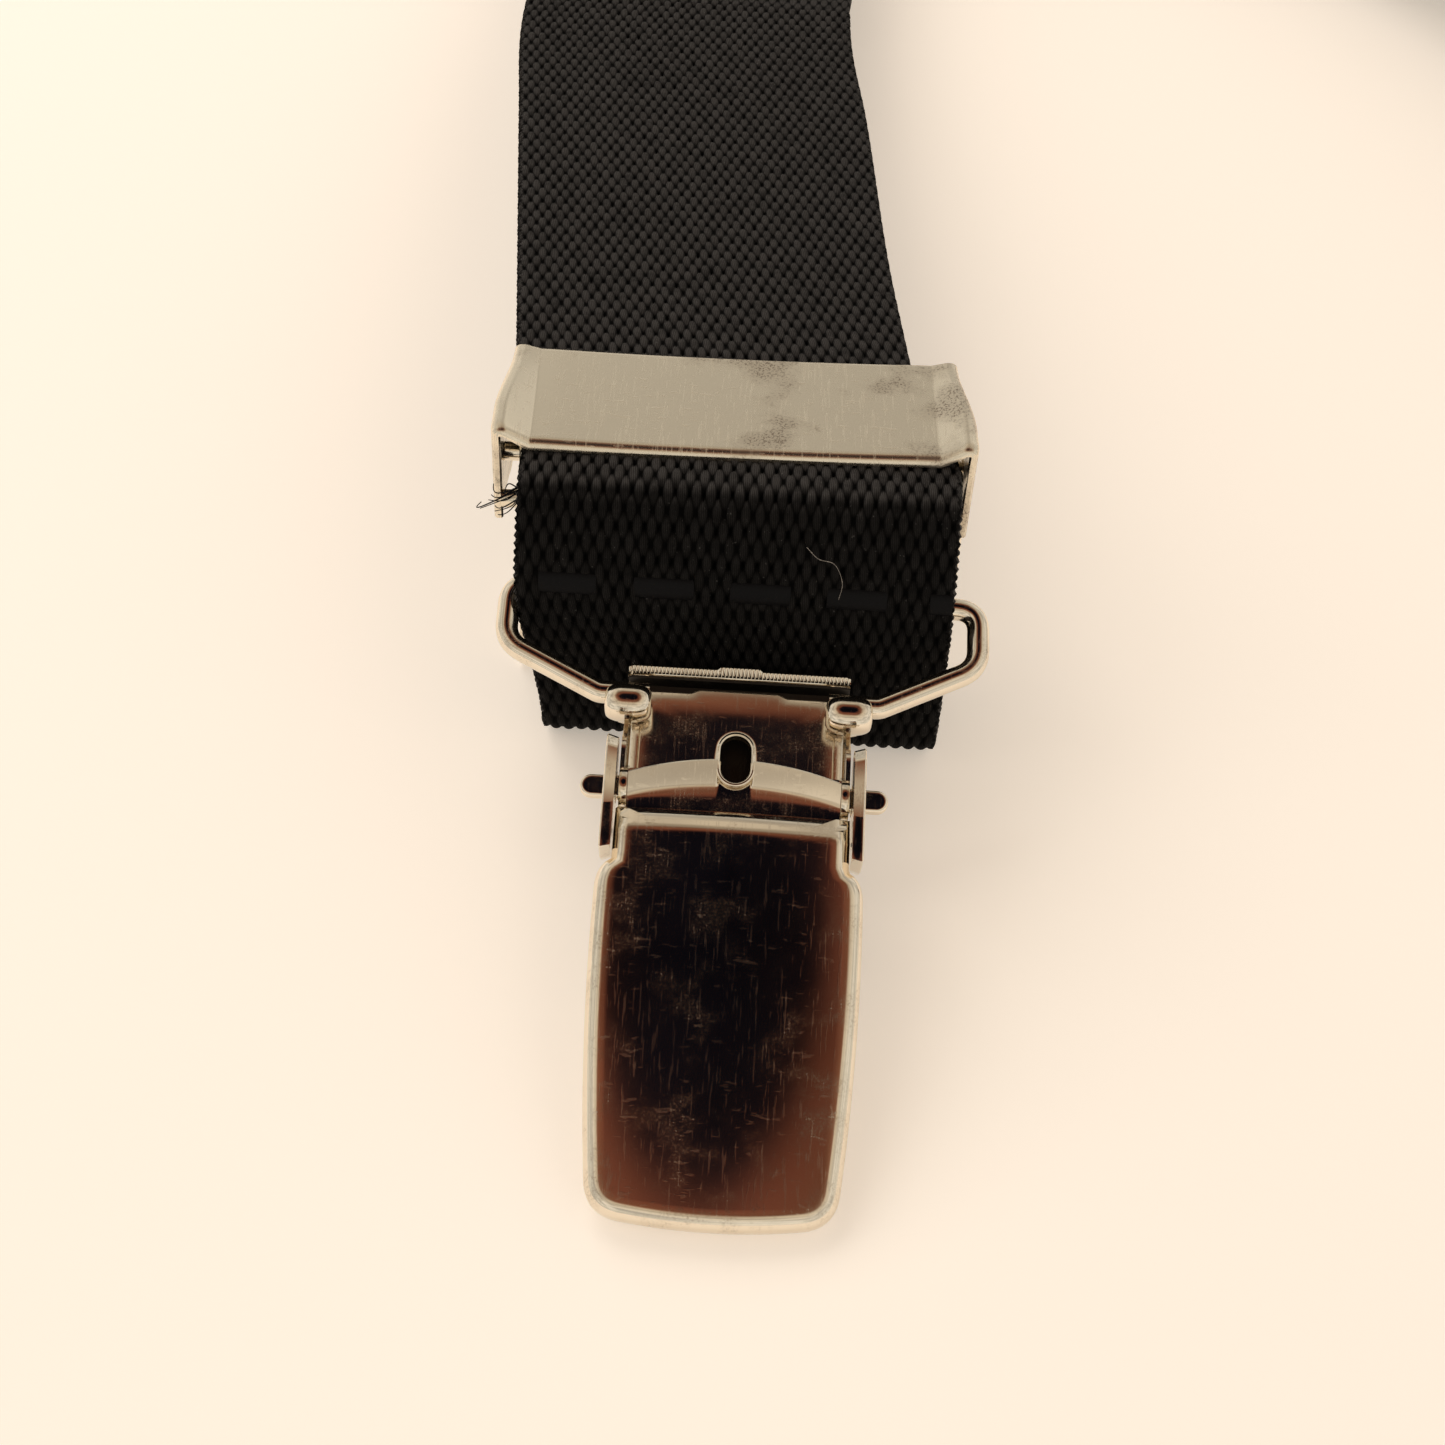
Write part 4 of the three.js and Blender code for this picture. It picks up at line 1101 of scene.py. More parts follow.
@dataclass
class Folding:
    """How the spare strap lies: flat layers folded back and forth into a low stack."""

    thickness: float = STRAP_THICKNESS
    air: float = 0.35 * MM

    @property
    def pitch(self) -> float:
        """Rise from one layer to the next."""
        return self.thickness + self.air

    def height(self, layer: int) -> float:
        """Height of a layer's middle."""
        return self.thickness / 2 + layer * self.pitch

    def stack(self, near: float, far: float, layers: int) -> np.ndarray:
        """The folded line, from the bottom layer's start at near up to the top layer.

        Args:
            near: Where odd folds turn.
            far: Where even folds turn.
            layers: How many layers.

        Returns:
            Points as (y, z).
        """
        points = []
        for layer in range(layers):
            begin, end = (near, far) if layer % 2 == 0 else (far, near)
            level = self.height(layer)
            points += [(begin, level), (end, level)]
            if layer < layers - 1:
                way = math.copysign(1, end - begin)
                for turn in np.linspace(-math.pi / 2, math.pi / 2, 9)[1:-1]:
                    y = end + way * math.cos(turn) * self.pitch / 2
                    points.append((y, level + self.pitch / 2 * (1 + math.sin(turn))))
        return np.array(points)


@dataclass
class FrontStrap:
    """One front strap: loop round the bail, run through the adjuster, folded spare and patch end."""

    lay: Lay
    webbing: Webbing = field(default_factory=Webbing)
    folding: Folding = field(default_factory=Folding)
    slope: float = math.radians(6.7)
    lean: float = 9 * MM
    layers: int = 7
    layer_length: float = 84 * MM
    fine_reach: float = 97 * MM
    spread: float = math.radians(40)
    patch_reach: float = 41.05 * MM
    half_width: float = 17.5 * MM
    frayed_threads: int = 11
    dash_row: tuple[tuple[float, float], ...] = (
        (-14.2, 2.3),
        (-6.5, 2.4),
        (1.2, 2.4),
        (8.9, 2.4),
        (15.6, 0.9),
    )

    @property
    def adjuster(self) -> tuple[float, float]:
        """Strap's middle at the adjuster's lower edge, as (y, z)."""
        return self.lay.bar[0] + 6.3 * MM, self.lay.bar[1] + 7.8 * MM

    @property
    def stack_start(self) -> float:
        """Where the spare strap's top layer begins."""
        top = self.folding.height(self.layers - 1)
        return self.adjuster[0] + (self.adjuster[1] - top) / math.tan(self.slope)

    @property
    def patch_centre(self) -> float:
        """Middle of the patch, along this strap."""
        end = self.stack_start + self.layer_length
        return end + self.half_width / math.sin(self.spread / 2) + 6 * MM

    def sunk(self, y: np.ndarray, z: np.ndarray) -> np.ndarray:
        """1 at the loop's lower fold, 0 from the bail bar up.

        Args:
            y: Places along the strap, from below the hooks.
            z: Their heights.

        Returns:
            Shares of the same shape.
        """
        low = 1 - smooth_step((z - 2 * MM) / (self.lay.bar[1] + 3 * MM - 2 * MM))
        return low * (y < self.lay.bar[0] + 6 * MM)

    def girth(self, y: np.ndarray, z: np.ndarray) -> np.ndarray:
        """Share of the full width: drawn in at the lower fold and where it leaves the adjuster.

        Args:
            y: Places along the strap, from below the hooks.
            z: Their heights.

        Returns:
            Shares of the same shape.
        """
        past = (y - self.adjuster[0] - 12 * MM) / MM
        drawn = 0.046 * smooth_step((past + 6) / 6) * (1 - 0.7 * smooth_step((past - 14) / 40))
        return 1 - 0.063 * self.sunk(y, z) - drawn

    def drift(self, y: np.ndarray, z: np.ndarray) -> np.ndarray:
        """Sideways place of the strap's middle.

        Args:
            y: Places along the strap, from below the hooks.
            z: Their heights.

        Returns:
            Offsets from the clip's middle.
        """
        start = self.adjuster[0]
        near = -0.9 * MM - 1.9 * MM * smooth_step((y - start) / (14 * MM))
        near = near + 1.1 * MM * self.sunk(y, z)
        slide = near - 0.105 * np.clip(y - start - 14 * MM, 0, 68 * MM)
        slide = slide - (1 - self.girth(y, z)) * 17.4 * MM * (y > start)
        settle = smooth_step((y - start - 60 * MM) / (36 * MM))
        return self.lay.side.sign * (slide * (1 - settle) - self.lean * settle)

    def mitre(self, y: np.ndarray) -> tuple[np.ndarray, np.ndarray]:
        """Lowest and highest x that keep this strap on its own side of the patch's middle.

        Args:
            y: Places along the strap, from below the hooks.

        Returns:
            The lowest and the highest x at each place.
        """
        room = np.maximum((self.patch_centre - y) * math.tan(self.spread / 2) - 0.15 * MM, 2 * MM)
        shift = -self.lay.side.sign * self.lean
        wide = np.full_like(room, 60 * MM)
        room = np.where(room > 17.6 * MM, wide, room)
        if self.lay.side.sign > 0:
            return -wide, shift + room
        return shift - room, wide

    def loop_line(self) -> np.ndarray:
        """The loop, from its cut end behind the bail bar to the adjuster's lower edge.

        Returns:
            Points as (y, z).
        """
        by, bz = self.lay.bar
        wrap, fold = LOOP_WRAP, 1.95 * MM
        centre = (by - 1.9 * MM, fold + 0.65 * MM)
        knots = [
            (by + 2.8 * MM, bz + 0.6 * MM),
            (by + wrap + 0.25 * MM, bz - 1.5 * MM),
            (centre[0] + fold + 0.7 * MM, centre[1] + 5 * MM),
        ]
        for turn in np.linspace(0, -math.pi, 5):
            knots.append((centre[0] + fold * math.cos(turn), centre[1] + fold * math.sin(turn)))
        knots += [
            (centre[0] - fold + 0.35 * MM, centre[1] + 4 * MM),
            (by - 2.75 * MM, bz - 3.4 * MM),
            (by - 1.82 * MM, bz + 0.62 * MM),
            (by + 0.7 * MM, bz + 4.9 * MM),
            (self.adjuster[0] - 2.9 * MM, self.adjuster[1] - 0.1 * MM),
            self.adjuster,
        ]
        return along_spline(knots, 260)

    def build(self) -> bpy.types.Object:
        """Make the strap and put it on its body.

        Returns:
            The strap.
        """
        prefix = self.lay.side.prefix
        loop = self.loop_line()
        start, height = self.adjuster
        reach = np.array([[self.fine_reach, height - (self.fine_reach - start) * math.tan(self.slope)]])
        near = np.vstack([loop, reach])
        stack_end = self.stack_start + self.layer_length
        stack = self.folding.stack(stack_end, self.stack_start, self.layers)[::-1]
        ramp = np.array(
            [
                (stack_end + 4 * MM, self.folding.height(0)),
                (self.patch_centre - self.patch_reach, BETWEEN_PANELS),
                (self.patch_centre - 22 * MM, BETWEEN_PANELS),
            ]
        )
        rest = np.vstack([reach, stack, ramp])
        heights = np.abs(near[:, 1] - self.lay.bar[1] - 1.9 * MM) + (near[:, 0] > self.lay.bar[0])
        dashes = length_of(near[: int(np.argmin(heights)) + 1])
        shell = self.webbing.band(near, self.drift, 0.0, True, dashes=dashes, girth=self.girth)
        used = length_of(near)
        far = self.webbing.band(rest, self.drift, used, False, narrow=self.mitre, girth=self.girth)
        made = make(f"{prefix}_strap", shell.merged(far), ELASTIC, self.lay.table, 60.0)
        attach(made, "straps")
        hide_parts(f"{prefix}_front_strap")
        return made

    def build_dashes(self) -> bpy.types.Object:
        """Make the row of flat satin dashes sewn across the loop's front.

        Returns:
            All the dashes as one piece.
        """
        prefix = self.lay.side.prefix
        loop = self.loop_line()
        front = loop[loop[:, 0] < self.lay.bar[0] + 3 * MM]
        front = front[np.argsort(front[:, 1])]
        rise = self.lay.bar[1] + np.linspace(0.95, 2.85, 7) * MM
        y = np.interp(rise, front[:, 1], front[:, 0])
        slope = np.gradient(y, rise)
        out = unit(np.stack([-np.ones_like(slope), slope], axis=1))
        under = np.stack([y, rise], axis=1)
        rounded = np.array([0.3, 0.05, 0, 0, 0, 0.05, 0.3]) * MM
        pads = []
        for middle, half in self.dash_row:
            rings = []
            for share in np.linspace(-1, 1, 40):
                x = middle * MM * self.lay.side.sign + share * half * MM
                swell = 0.60 * MM + 0.05 * MM * math.sqrt(max(0.0, 1 - share**4))
                top = under + out * (swell - rounded)[:, None]
                rings.append(sliced(x, np.vstack([top, under[::-1]])))
            pads.append(loft(np.array(rings)))
        dashes = make(f"{prefix}_sewn_dashes", gathered(pads), SATIN_THREAD, self.lay.table, 60.0)
        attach(dashes, "straps")
        return dashes

    def build_tail(self) -> bpy.types.Object:
        """Make the strip between the loop and the sewn end.

        Returns:
            The strip.
        """
        prefix = self.lay.side.prefix
        turned = Matrix.Rotation(-self.slope, 2) @ Vector((1.1 * MM, -4.5 * MM))
        bar = (self.adjuster[0] + turned.x, self.adjuster[1] + turned.y)
        by, bz = self.lay.bar
        knots = [(by + 2.7 * MM, bz + 0.5 * MM)]
        for turn in np.radians(np.linspace(150, -60, 12)):
            knots.append((bar[0] + 1.75 * MM * math.cos(turn), bar[1] + 1.75 * MM * math.sin(turn)))
        knots.append((bar[0] - 1.4 * MM, bar[1] - 3 * MM))
        line = along_spline(knots, 90)
        webbing = Webbing(width=34.2 * MM, thickness=1.1 * MM, per_column=4, step=0.35 * MM)
        shell = webbing.band(line, lambda y, z: np.full_like(y, -0.7 * MM * self.lay.side.sign), 0.0, True)
        made = make(f"{prefix}_strap_tail", shell, ELASTIC, self.lay.table, 60.0)
        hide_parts(f"{prefix}_strap_end")
        end = self.lay.table @ Vector((0, bar[0] - 0.5 * MM, bar[1]))
        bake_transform(made)
        return made

    def build_fibres(self) -> list[bpy.types.Object]:
        """Make the frayed threads at the adjuster's corner and one loose fibre on the loop.

        Returns:
            The frayed threads and the loose fibre.
        """
        prefix = self.lay.side.prefix
        rng = np.random.default_rng(7)
        start, height = self.adjuster
        root = np.array([-18.2 * MM * self.lay.side.sign, start - 1.2 * MM, height - 2.2 * MM])
        threads = []
        for _ in range(self.frayed_threads):
            reach = rng.uniform(1.0, 3.4) * MM
            way = np.array([-self.lay.side.sign, rng.uniform(-1.0, 0.1), rng.uniform(-0.9, 0.4)])
            curl = rng.normal(0, 0.45, 3)
            steps = np.linspace(0, 1, 14)[:, None]
            line = root + reach * (way * steps + curl * np.sin(steps * math.pi) * steps)
            threads.append(tube(line + rng.normal(0, 0.25 * MM, 3), 0.075 * MM, 6, 0.5))
        frayed = make(f"{prefix}_frayed_threads", gathered(threads), BLACK_THREAD, self.lay.table, 80.0)
        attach(frayed, "straps")
        loop = self.loop_line()
        front = loop[loop[:, 0] < self.lay.bar[0] + 3 * MM]
        knots = [(4.6, 5.6), (5.6, 4.9), (6.9, 4.6), (7.6, 3.4), (7.4, 2.2)]
        flat = along_spline([(x * MM, z * MM) for x, z in knots], 40)
        rise = self.lay.bar[1] + flat[:, 1]
        order = np.argsort(front[:, 1])
        y = np.interp(rise, front[order, 1], front[order, 0]) - 1.05 * MM
        hair = tube(np.stack([flat[:, 0], y, rise + 0.3 * MM], axis=1), 0.03 * MM, 6, 0.6)
        lint = make(f"{prefix}_loose_fibre", hair, PALE_FIBRE, self.lay.table, 80.0)
        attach(lint, "straps")
        return [frayed, lint]


@dataclass
class BackStrap:
    """The back strap: patch end, folded spare and the loop round its own bail bar."""

    lay: Lay
    layers: int = 3
    layer_length: float = 60 * MM
    webbing: Webbing = field(default_factory=Webbing)
    folding: Folding = field(default_factory=Folding)

    def build(self, patch: Matrix) -> bpy.types.Object:
        """Make the strap.

        Args:
            patch: Frame of the patch: its middle on the table, +y along this strap.

        Returns:
            The strap on its body.
        """
        bar = patch.inverted() @ Vector(joint("back_bail_swing")["pos_m"])
        centre = np.array([bar.y, bar.z])
        edge = PATCH_LENGTH / 2
        start = edge + 16 * MM
        wrap = LOOP_WRAP
        top = self.folding.height(self.layers - 1)
        stack = self.folding.stack(start, start + self.layer_length, self.layers)
        first = np.array(
            [
                (20 * MM, BETWEEN_PANELS),
                (edge + 2 * MM, BETWEEN_PANELS),
                (edge + 11 * MM, self.folding.height(0)),
            ]
        )
        rise = [(centre[0] - 10 * MM, top + 1 * MM), (centre[0] - 5 * MM, centre[1] + wrap - 0.9 * MM)]
        for turn in np.radians(np.linspace(105, -95, 11)):
            rise.append((centre[0] + wrap * math.cos(turn), centre[1] + wrap * math.sin(turn)))
        rise += [
            (centre[0] - 4 * MM, centre[1] - wrap + 0.25 * MM),
            (centre[0] - 10 * MM, top + 1 * MM - 1.6 * MM),
            (centre[0] - 15 * MM, top - 1.6 * MM),
        ]
        line = np.vstack([first, stack[1:], along_spline(rise, 90)])
        shell = self.webbing.band(line, lambda y, z: np.zeros_like(y), 0.0, False)
        made = make("back_elastic", shell, ELASTIC, patch, 60.0)
        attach(made, "straps")
        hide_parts("back_strap")
        return made


# ---- patch --------------------------------------------------------------------------------------


@dataclass
class Patch:
    """Two leather panels sewn together over the ends of the three straps."""

    length: float = PATCH_LENGTH
    width: float = 58 * MM
    thickness: float = PANEL_THICKNESS
    stitch: float = 2.3 * MM
    seam_inset: float = 2.9 * MM

    def place(self) -> Matrix:
        """Frame of the patch: its middle on the table, +y toward the back clip.

        Returns:
            The frame.
        """
        low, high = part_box("patch_lining")
        middle = (low + high) / 2
        hook = Vector(joint("back_clip_tilt")["pos_m"])
        across = Vector(joint("back_clip_tilt")["axis"]).normalized()
        ahead = UP.cross(across)
        start = Vector((middle.x, middle.y, 0))
        start += across * ((hook - start).dot(across))
        return frame_of(across, ahead, Vector((start.x, start.y, 0)))

    def outline(self) -> np.ndarray:
        """Edge of a panel, wide toward the front straps.

        Returns:
            Points of the edge, evenly spaced.
        """
        wide, narrow, half = self.width / 2, 20.5 * MM, self.length / 2
        a, b, c = 6 * MM, 5 * MM, 8 * MM
        curves = [
            ((-wide + a, -half), (0, -half + b), (wide - a, -half)),
            ((wide - a, -half), (wide + MM, -half + MM), (wide, -half + c)),
            ((wide, -half + c), (wide - 4 * MM, 4 * MM), (narrow, half - b)),
            ((narrow, half - b), (narrow - 0.5 * MM, half), (narrow - a, half)),
            ((narrow - a, half), (0, half), (-narrow + a, half)),
            ((-narrow + a, half), (-narrow + 0.5 * MM, half), (-narrow, half - b)),
            ((-narrow, half - b), (-wide + 4 * MM, 4 * MM), (-wide, -half + c)),
            ((-wide, -half + c), (-wide - MM, -half + MM), (-wide + a, -half)),
        ]
        share = np.linspace(0, 1, 14, endpoint=False)[:, None]
        points = []
        for start, pull, end in (np.array(curve) for curve in curves):
            points.extend(bend(start, pull, end, share))
        return resampled(np.array(points), 220)

    def panel(self, low: float) -> Shell:
        """One panel with rounded edges and a faint sewn channel, standing on a height.

        Args:
            low: Height that the panel stands on.

        Returns:
            The closed surface.
        """
        outline = self.outline()
        steps = [(0.5, 0.0), (0.15, 0.12), (0.0, 0.5), (0.15, 0.88), (0.5, 1.0), (2.3, 1.02), (2.9, 0.84)]
        steps += [(3.5, 1.03), (6.0, 1.05)]
        rings = []
        for inward, rise in steps:
            rings.append(raised(inset(outline, inward * MM), low + rise * self.thickness))
        inner = inset(outline, 6 * MM)
        for share in (0.75, 0.5, 0.25, 0.04):
            rings.append(raised(inner * share, low + 1.06 * self.thickness))
        return loft(np.array(rings))

    def stitching(self, height: float) -> Shell:
        """A row of short raised stitches just inside the edge, at a height.

        Args:
            height: Height of the leather under the stitches.

        Returns:
            The stitches as one surface.
        """
        line = inset(self.outline(), self.seam_inset)
        closed = np.vstack([line, line[:1]])
        runs = runs_of(closed)
        count = int(runs[-1] / self.stitch)
        stitches = []
        for index in range(count):
            reach = np.linspace((index + 0.12) / count, (index + 0.88) / count, 9) * runs[-1]
            flat = np.stack([np.interp(reach, runs, closed[:, axis]) for axis in (0, 1)], axis=1)
            bow = height + 0.16 * MM * np.sin(np.linspace(0, math.pi, 9)) - 0.12 * MM
            stitches.append(tube(np.column_stack([flat, bow]), 0.2 * MM, 8))
        return gathered(stitches)

    def build(self) -> list[bpy.types.Object]:
        """Make both panels and the stitching on each face.

        Returns:
            The panels, each followed by its stitching.
        """
        place = self.place()
        top = self.thickness + STRAP_THICKNESS + 2 * CLEARANCE
        made = []
        for node, low in (("patch_lining", 0.0), ("patch_front", top)):
            flip = node == "patch_lining"
            shell = self.panel(0.0)
            seam = self.stitching(self.thickness * 0.9)
            for part in (shell, seam):
                heights = part.points[:, 2]
                part.points[:, 2] = (self.thickness * 1.06 - heights) if flip else heights + low
            panel = make(f"{node}_panel", shell, PATCH_LEATHER, place, 50.0)
            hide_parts(node)
            seam_piece = make(f"{node}_stitching", seam, BLACK_THREAD, place, 80.0)
            for piece in (panel, seam_piece):
                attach(piece, "straps")
                made.append(piece)
        return made


# ---- clip ---------------------------------------------------------------------------------------


@dataclass
class Clip:
    """One spring clip: wire bail, body, grip pad, lever, rear jaw, pin and leaf spring."""

    lay: Lay
    wire: float = 0.9 * MM
    bail_length: float = 9.1 * MM
    hook_reach: float = 10.2 * MM
    side_reach: float = 18.9 * MM
    shoulder: float = 3.9 * MM
    lever_length: float = 32.8 * MM
    lever_top: float = 3.03 * MM
    rim: float = 1.7 * MM
    sheet: float = 0.6 * MM
    edge_round: float = 1.15 * MM
    crown: float = 0.55 * MM
    crescent_half: float = 8.15 * MM
    notch_radius: float = 1.32 * MM
    notch_depth: float = 0.45 * MM
    ear_inner: float = 9.05 * MM
    ear_outer: float = 9.95 * MM
    tab_hole: float = 1.25 * MM
    pivot_down: float = 8.7 * MM
    pivot_rise: float = 1.8 * MM
    lip_half: float = 8.95 * MM
    groove_pitch: float = 0.30 * MM
    groove_depth: float = 0.07 * MM
    head_half: float = 7.75 * MM
    head_top: float = 1.0 * MM
    slot_down: float = 4.9 * MM
    knob_inner: float = 6.9 * MM
    knob_radius: float = 1.52 * MM
    knob_square: float = 2.1
    plate_end: float = 5.8 * MM
    plate_back: float = 1.85 * MM
    lower_half: float = 9.0 * MM

    def body_name(self, part: str) -> str:
        """Name of one of this clip's bodies or pieces."""
        return f"{self.lay.side.prefix}_{part}"

    def build_bail(self) -> bpy.types.Object:
        """Bend the wire bail round from hook to hook.

        Returns:
            The bail.
        """
        foot = (self.hook_reach + 0.9 * MM, 0.0)
        half = [
            (self.hook_reach - 3.1 * MM, 0.0),
            foot,
            (self.side_reach, self.shoulder),
            (self.side_reach, self.bail_length),
        ]
        corners = half + [(-x, y) for x, y in reversed(half)]
        line = filleted(corners, [1.4 * MM, 2.6 * MM, 1.9 * MM, 1.9 * MM, 2.6 * MM, 1.4 * MM], 12)
        shell = tube(np.column_stack([line, np.zeros(len(line))]), self.wire, 24)
        made = make(self.body_name("wire_bail"), shell, BRIGHT_NICKEL, self.lay.clip)
        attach(made, self.body_name("bail"))
        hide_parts(self.body_name("clip_bail"))
        return made

    def lever_outline(self) -> np.ndarray:
        """Edge of the lever's plate, about the lever's own axis.

        Returns:
            Points of the edge, evenly spaced.
        """
        neck, shoulder, tip, end = 8.95 * MM, 10.1 * MM, 9.2 * MM, self.lever_length
        corner, start, swell = 2.8 * MM, 6.2 * MM, 2.4 * MM
        curves = [
            ((neck, -1.8 * MM), (neck, -4 * MM), (neck, -start)),
            ((neck, -start), (shoulder, -start - 0.5 * MM), (shoulder, -start - swell)),
            ((shoulder, -start - swell), (shoulder + 0.15 * MM, -end * 0.6), (tip, -end + corner)),
            ((tip, -end + corner), (tip - 0.2 * MM, -end + 0.3 * MM), (tip - corner, -end)),
            ((tip - corner, -end), (0, -end - 0.9 * MM), (-tip + corner, -end)),
        ]
        steps = 24
        share = np.linspace(0, 1, steps, endpoint=False)[:, None]
        right = []
        for first, pull, last in (np.array(curve) for curve in curves):
            right.extend(bend(first, pull, last, share))
        left = [point * (-1, 1) for point in reversed(right[: (len(curves) - 1) * steps])]
        return resampled(np.array(right + left), 300)

    def lever_plate(self) -> Shell:
        """The dished plate: flat-crowned face, rounded edge, turned-down rim and hollow back.

        Returns:
            The closed surface.
        """
        outline = self.lever_outline()
        rings = []

        def ring(inward: float, share: float, drop: float) -> None:
            """Add one ring, inset and then drawn in toward the plate's spine.

            Args:
                inward: How far in from the edge.
                share: How far it is then drawn in toward the spine, 0 to 1.
                drop: Depth below the plate's face.
            """
            edge = inset(outline, inward)
            spine = np.stack(
                [np.zeros(len(edge)), np.clip(edge[:, 1], -self.lever_length + 7 * MM, -6 * MM)], axis=1
            )
            flat = edge * (1 - share) + spine * share
            reach = 1 - ((flat[:, 0] + 0.9 * MM) / (10.1 * MM)) ** 2
            sag = 0.35 * MM * ((flat[:, 1] + 20 * MM) / (14 * MM)) ** 2
            ridge = 0.66 * MM * np.clip((flat[:, 1] + 3.9 * MM) / (2.1 * MM), 0, 1)
            lift = self.crown * (np.clip(reach, 0, 1) - 0.25) - sag - ridge
            rings.append(np.column_stack([flat, self.lever_top - drop + lift]))

        for share in (0.995, 0.6, 0.3, 0.0):
            ring(self.sheet + self.edge_round * 0.7, share, self.sheet)
        ring(self.sheet + 0.05 * MM, 0.0, self.sheet + 0.5 * MM)
        ring(self.sheet * 0.9, 0.0, self.rim)
        ring(0.15 * MM, 0.0, self.rim + 0.05 * MM)
        ring(0.0, 0.0, self.rim - 0.15 * MM)
        for turn in np.linspace(0, math.pi / 2, 9):
            ring(self.edge_round * (1 - math.cos(turn)), 0.0, self.edge_round * (1 - math.sin(turn)))
        for share in (0.06, 0.14, 0.24, 0.36, 0.5, 0.64, 0.78, 0.9, 0.995):
            ring(self.edge_round, share, 0.0)
        return loft(np.array(rings))

    def crescent(self) -> Shell:
        """The crescent flange: flat band with an arched edge, hollow below it, up into the ridge.

        Returns:
            The closed surface.
        """
        radius = self.notch_radius
        rings = []
        for x in np.linspace(-self.crescent_half, self.crescent_half, 150):
            share = x / self.crescent_half
            arch = 1.35 * MM * (1 - share**2)
            top = 1.0 * MM + arch
            cut = abs(x) < radius
            if cut:
                top = min(top, self.notch_depth + radius - math.sqrt(radius**2 - x**2))
            band = -0.45 * MM + 0.75 * arch
            face = np.array(
                [
                    (-3.6 * MM, 1.3 * MM),
                    (-3.2 * MM, 0.8 * MM),
                    (-2.6 * MM, 0.56 * MM),
                    (-1.5 * MM, 0.54 * MM),
                    (-0.9 * MM, 0.60 * MM),
                    (min(band - 0.25 * MM, top - 0.3 * MM), 0.66 * MM),
                    (min(band, top - 0.2 * MM), 0.66 * MM if cut else 0.78 * MM),
                    (top - 0.1 * MM, 0.67 * MM if cut else 0.80 * MM + 0.36 * (top - band)),
                    (top, 0.6 * MM if cut else 0.74 * MM + 0.36 * (top - band)),
                ]
            )
            rings.append(sliced(x, np.vstack([face, face[::-1] - (0, 0.42 * MM)])))
        return loft(np.array(rings))

    def notch_rim(self) -> Shell:
        """Rounded rim of the notch in the crescent flange.

        Returns:
            The closed surface.
        """
        radius, height = 1.34 * MM, 1.02 * MM
        half_turn = radius * circle(np.linspace(math.pi, 2 * math.pi, 24)) + (0, 1.75 * MM)
        ends = np.array([[-radius, 2.2 * MM, 1.2 * MM], [radius, 2.2 * MM, 1.2 * MM]])
        return tube(np.vstack([ends[:1], raised(half_turn, height), ends[1:]]), 0.2 * MM, 12)

    def ear(self, side: int) -> Shell:
        """One ear of the lever, edge-on at the clip's side, with the hole for its tab.

        Args:
            side: -1 for the left of the clip, 1 for its right.

        Returns:
            The closed surface.
        """
        outline = [(-5.6, 2.9), (-5.8, 0.2), (-5.5, -1.3), (-4.6, -2.1), (-3.0, -2.4), (0.0, -2.4)]
        outline += [(2.4, -1.7), (3.7, -0.3), (4.0, 1.0), (3.6, 2.2), (2.6, 2.8), (0.0, 2.9), (-2.6, 2.95)]
        axis = (0.0, 0.0)
        hole = circle(whole_turn(64)) * self.tab_hole
        edge = around(np.array(outline) * MM, axis)
        sheet = pierced(edge, around(hole, axis), self.ear_inner, self.ear_outer, 0.25 * MM)
        points = sheet.points[:, [2, 0, 1]] * (side, 1, 1)
        return Shell(points, sheet.faces)

    def build_lever(self) -> list[bpy.types.Object]:
        """Make the lever's plate, its crescent flange and its two ears.

        Returns:
            The lever's pieces, the plate first.
        """
        place = self.lay.lever
        made = [
            make(self.body_name("lever_plate"), self.lever_plate(), BRIGHT_NICKEL, place, 50.0),
            make(self.body_name("lever_crescent"), self.crescent(), BRIGHT_NICKEL, place, 50.0),
            make(self.body_name("notch_rim"), self.notch_rim(), BRIGHT_NICKEL, place),
            make(self.body_name("lever_ear_a"), self.ear(-1), BRIGHT_NICKEL, place, 40.0),
            make(self.body_name("lever_ear_b"), self.ear(1), BRIGHT_NICKEL, place, 40.0),
        ]
        for piece in made:
            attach(piece, self.body_name("lever"))
        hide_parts(self.body_name("clip_lever"))
        return made

    def jaw_lip(self) -> Shell:
        """The rear jaw's serrated top lip, a bar with fine upright grooves on its front.

        Returns:
            The closed surface.
        """
        half, pitch = self.lip_half, self.groove_pitch
        x = np.arange(-half, half, pitch / 4)
        groove = self.groove_depth * np.cos(2 * np.pi * x / pitch)
        bump = 0.25 * MM * smooth_step((1.9 * MM - np.abs(x)) / (0.4 * MM))
        end = 0.25 * MM * (1 - smooth_step((half - np.abs(x)) / (0.4 * MM)))
        section = [(2.5, -3.9), (2.45, -2.05), (2.5, -1.86), (2.64, -1.76), (2.8, -1.82), (3.1, -1.82)]
        section += [(3.27, -1.76), (3.42, -1.86), (3.46, -2.05), (3.46, -3.9)]
        rings = []
        for place, cut, rise, tuck in zip(x, groove, bump, end):
            ring = []
            for index, (y, z) in enumerate(section):
                front = cut if index in (4, 5) else 0.0
                ring.append((place, y * MM + (rise if index >= 5 else 0) - tuck * 0.5, z * MM + front))
            rings.append(ring)
        return loft(np.array(rings))

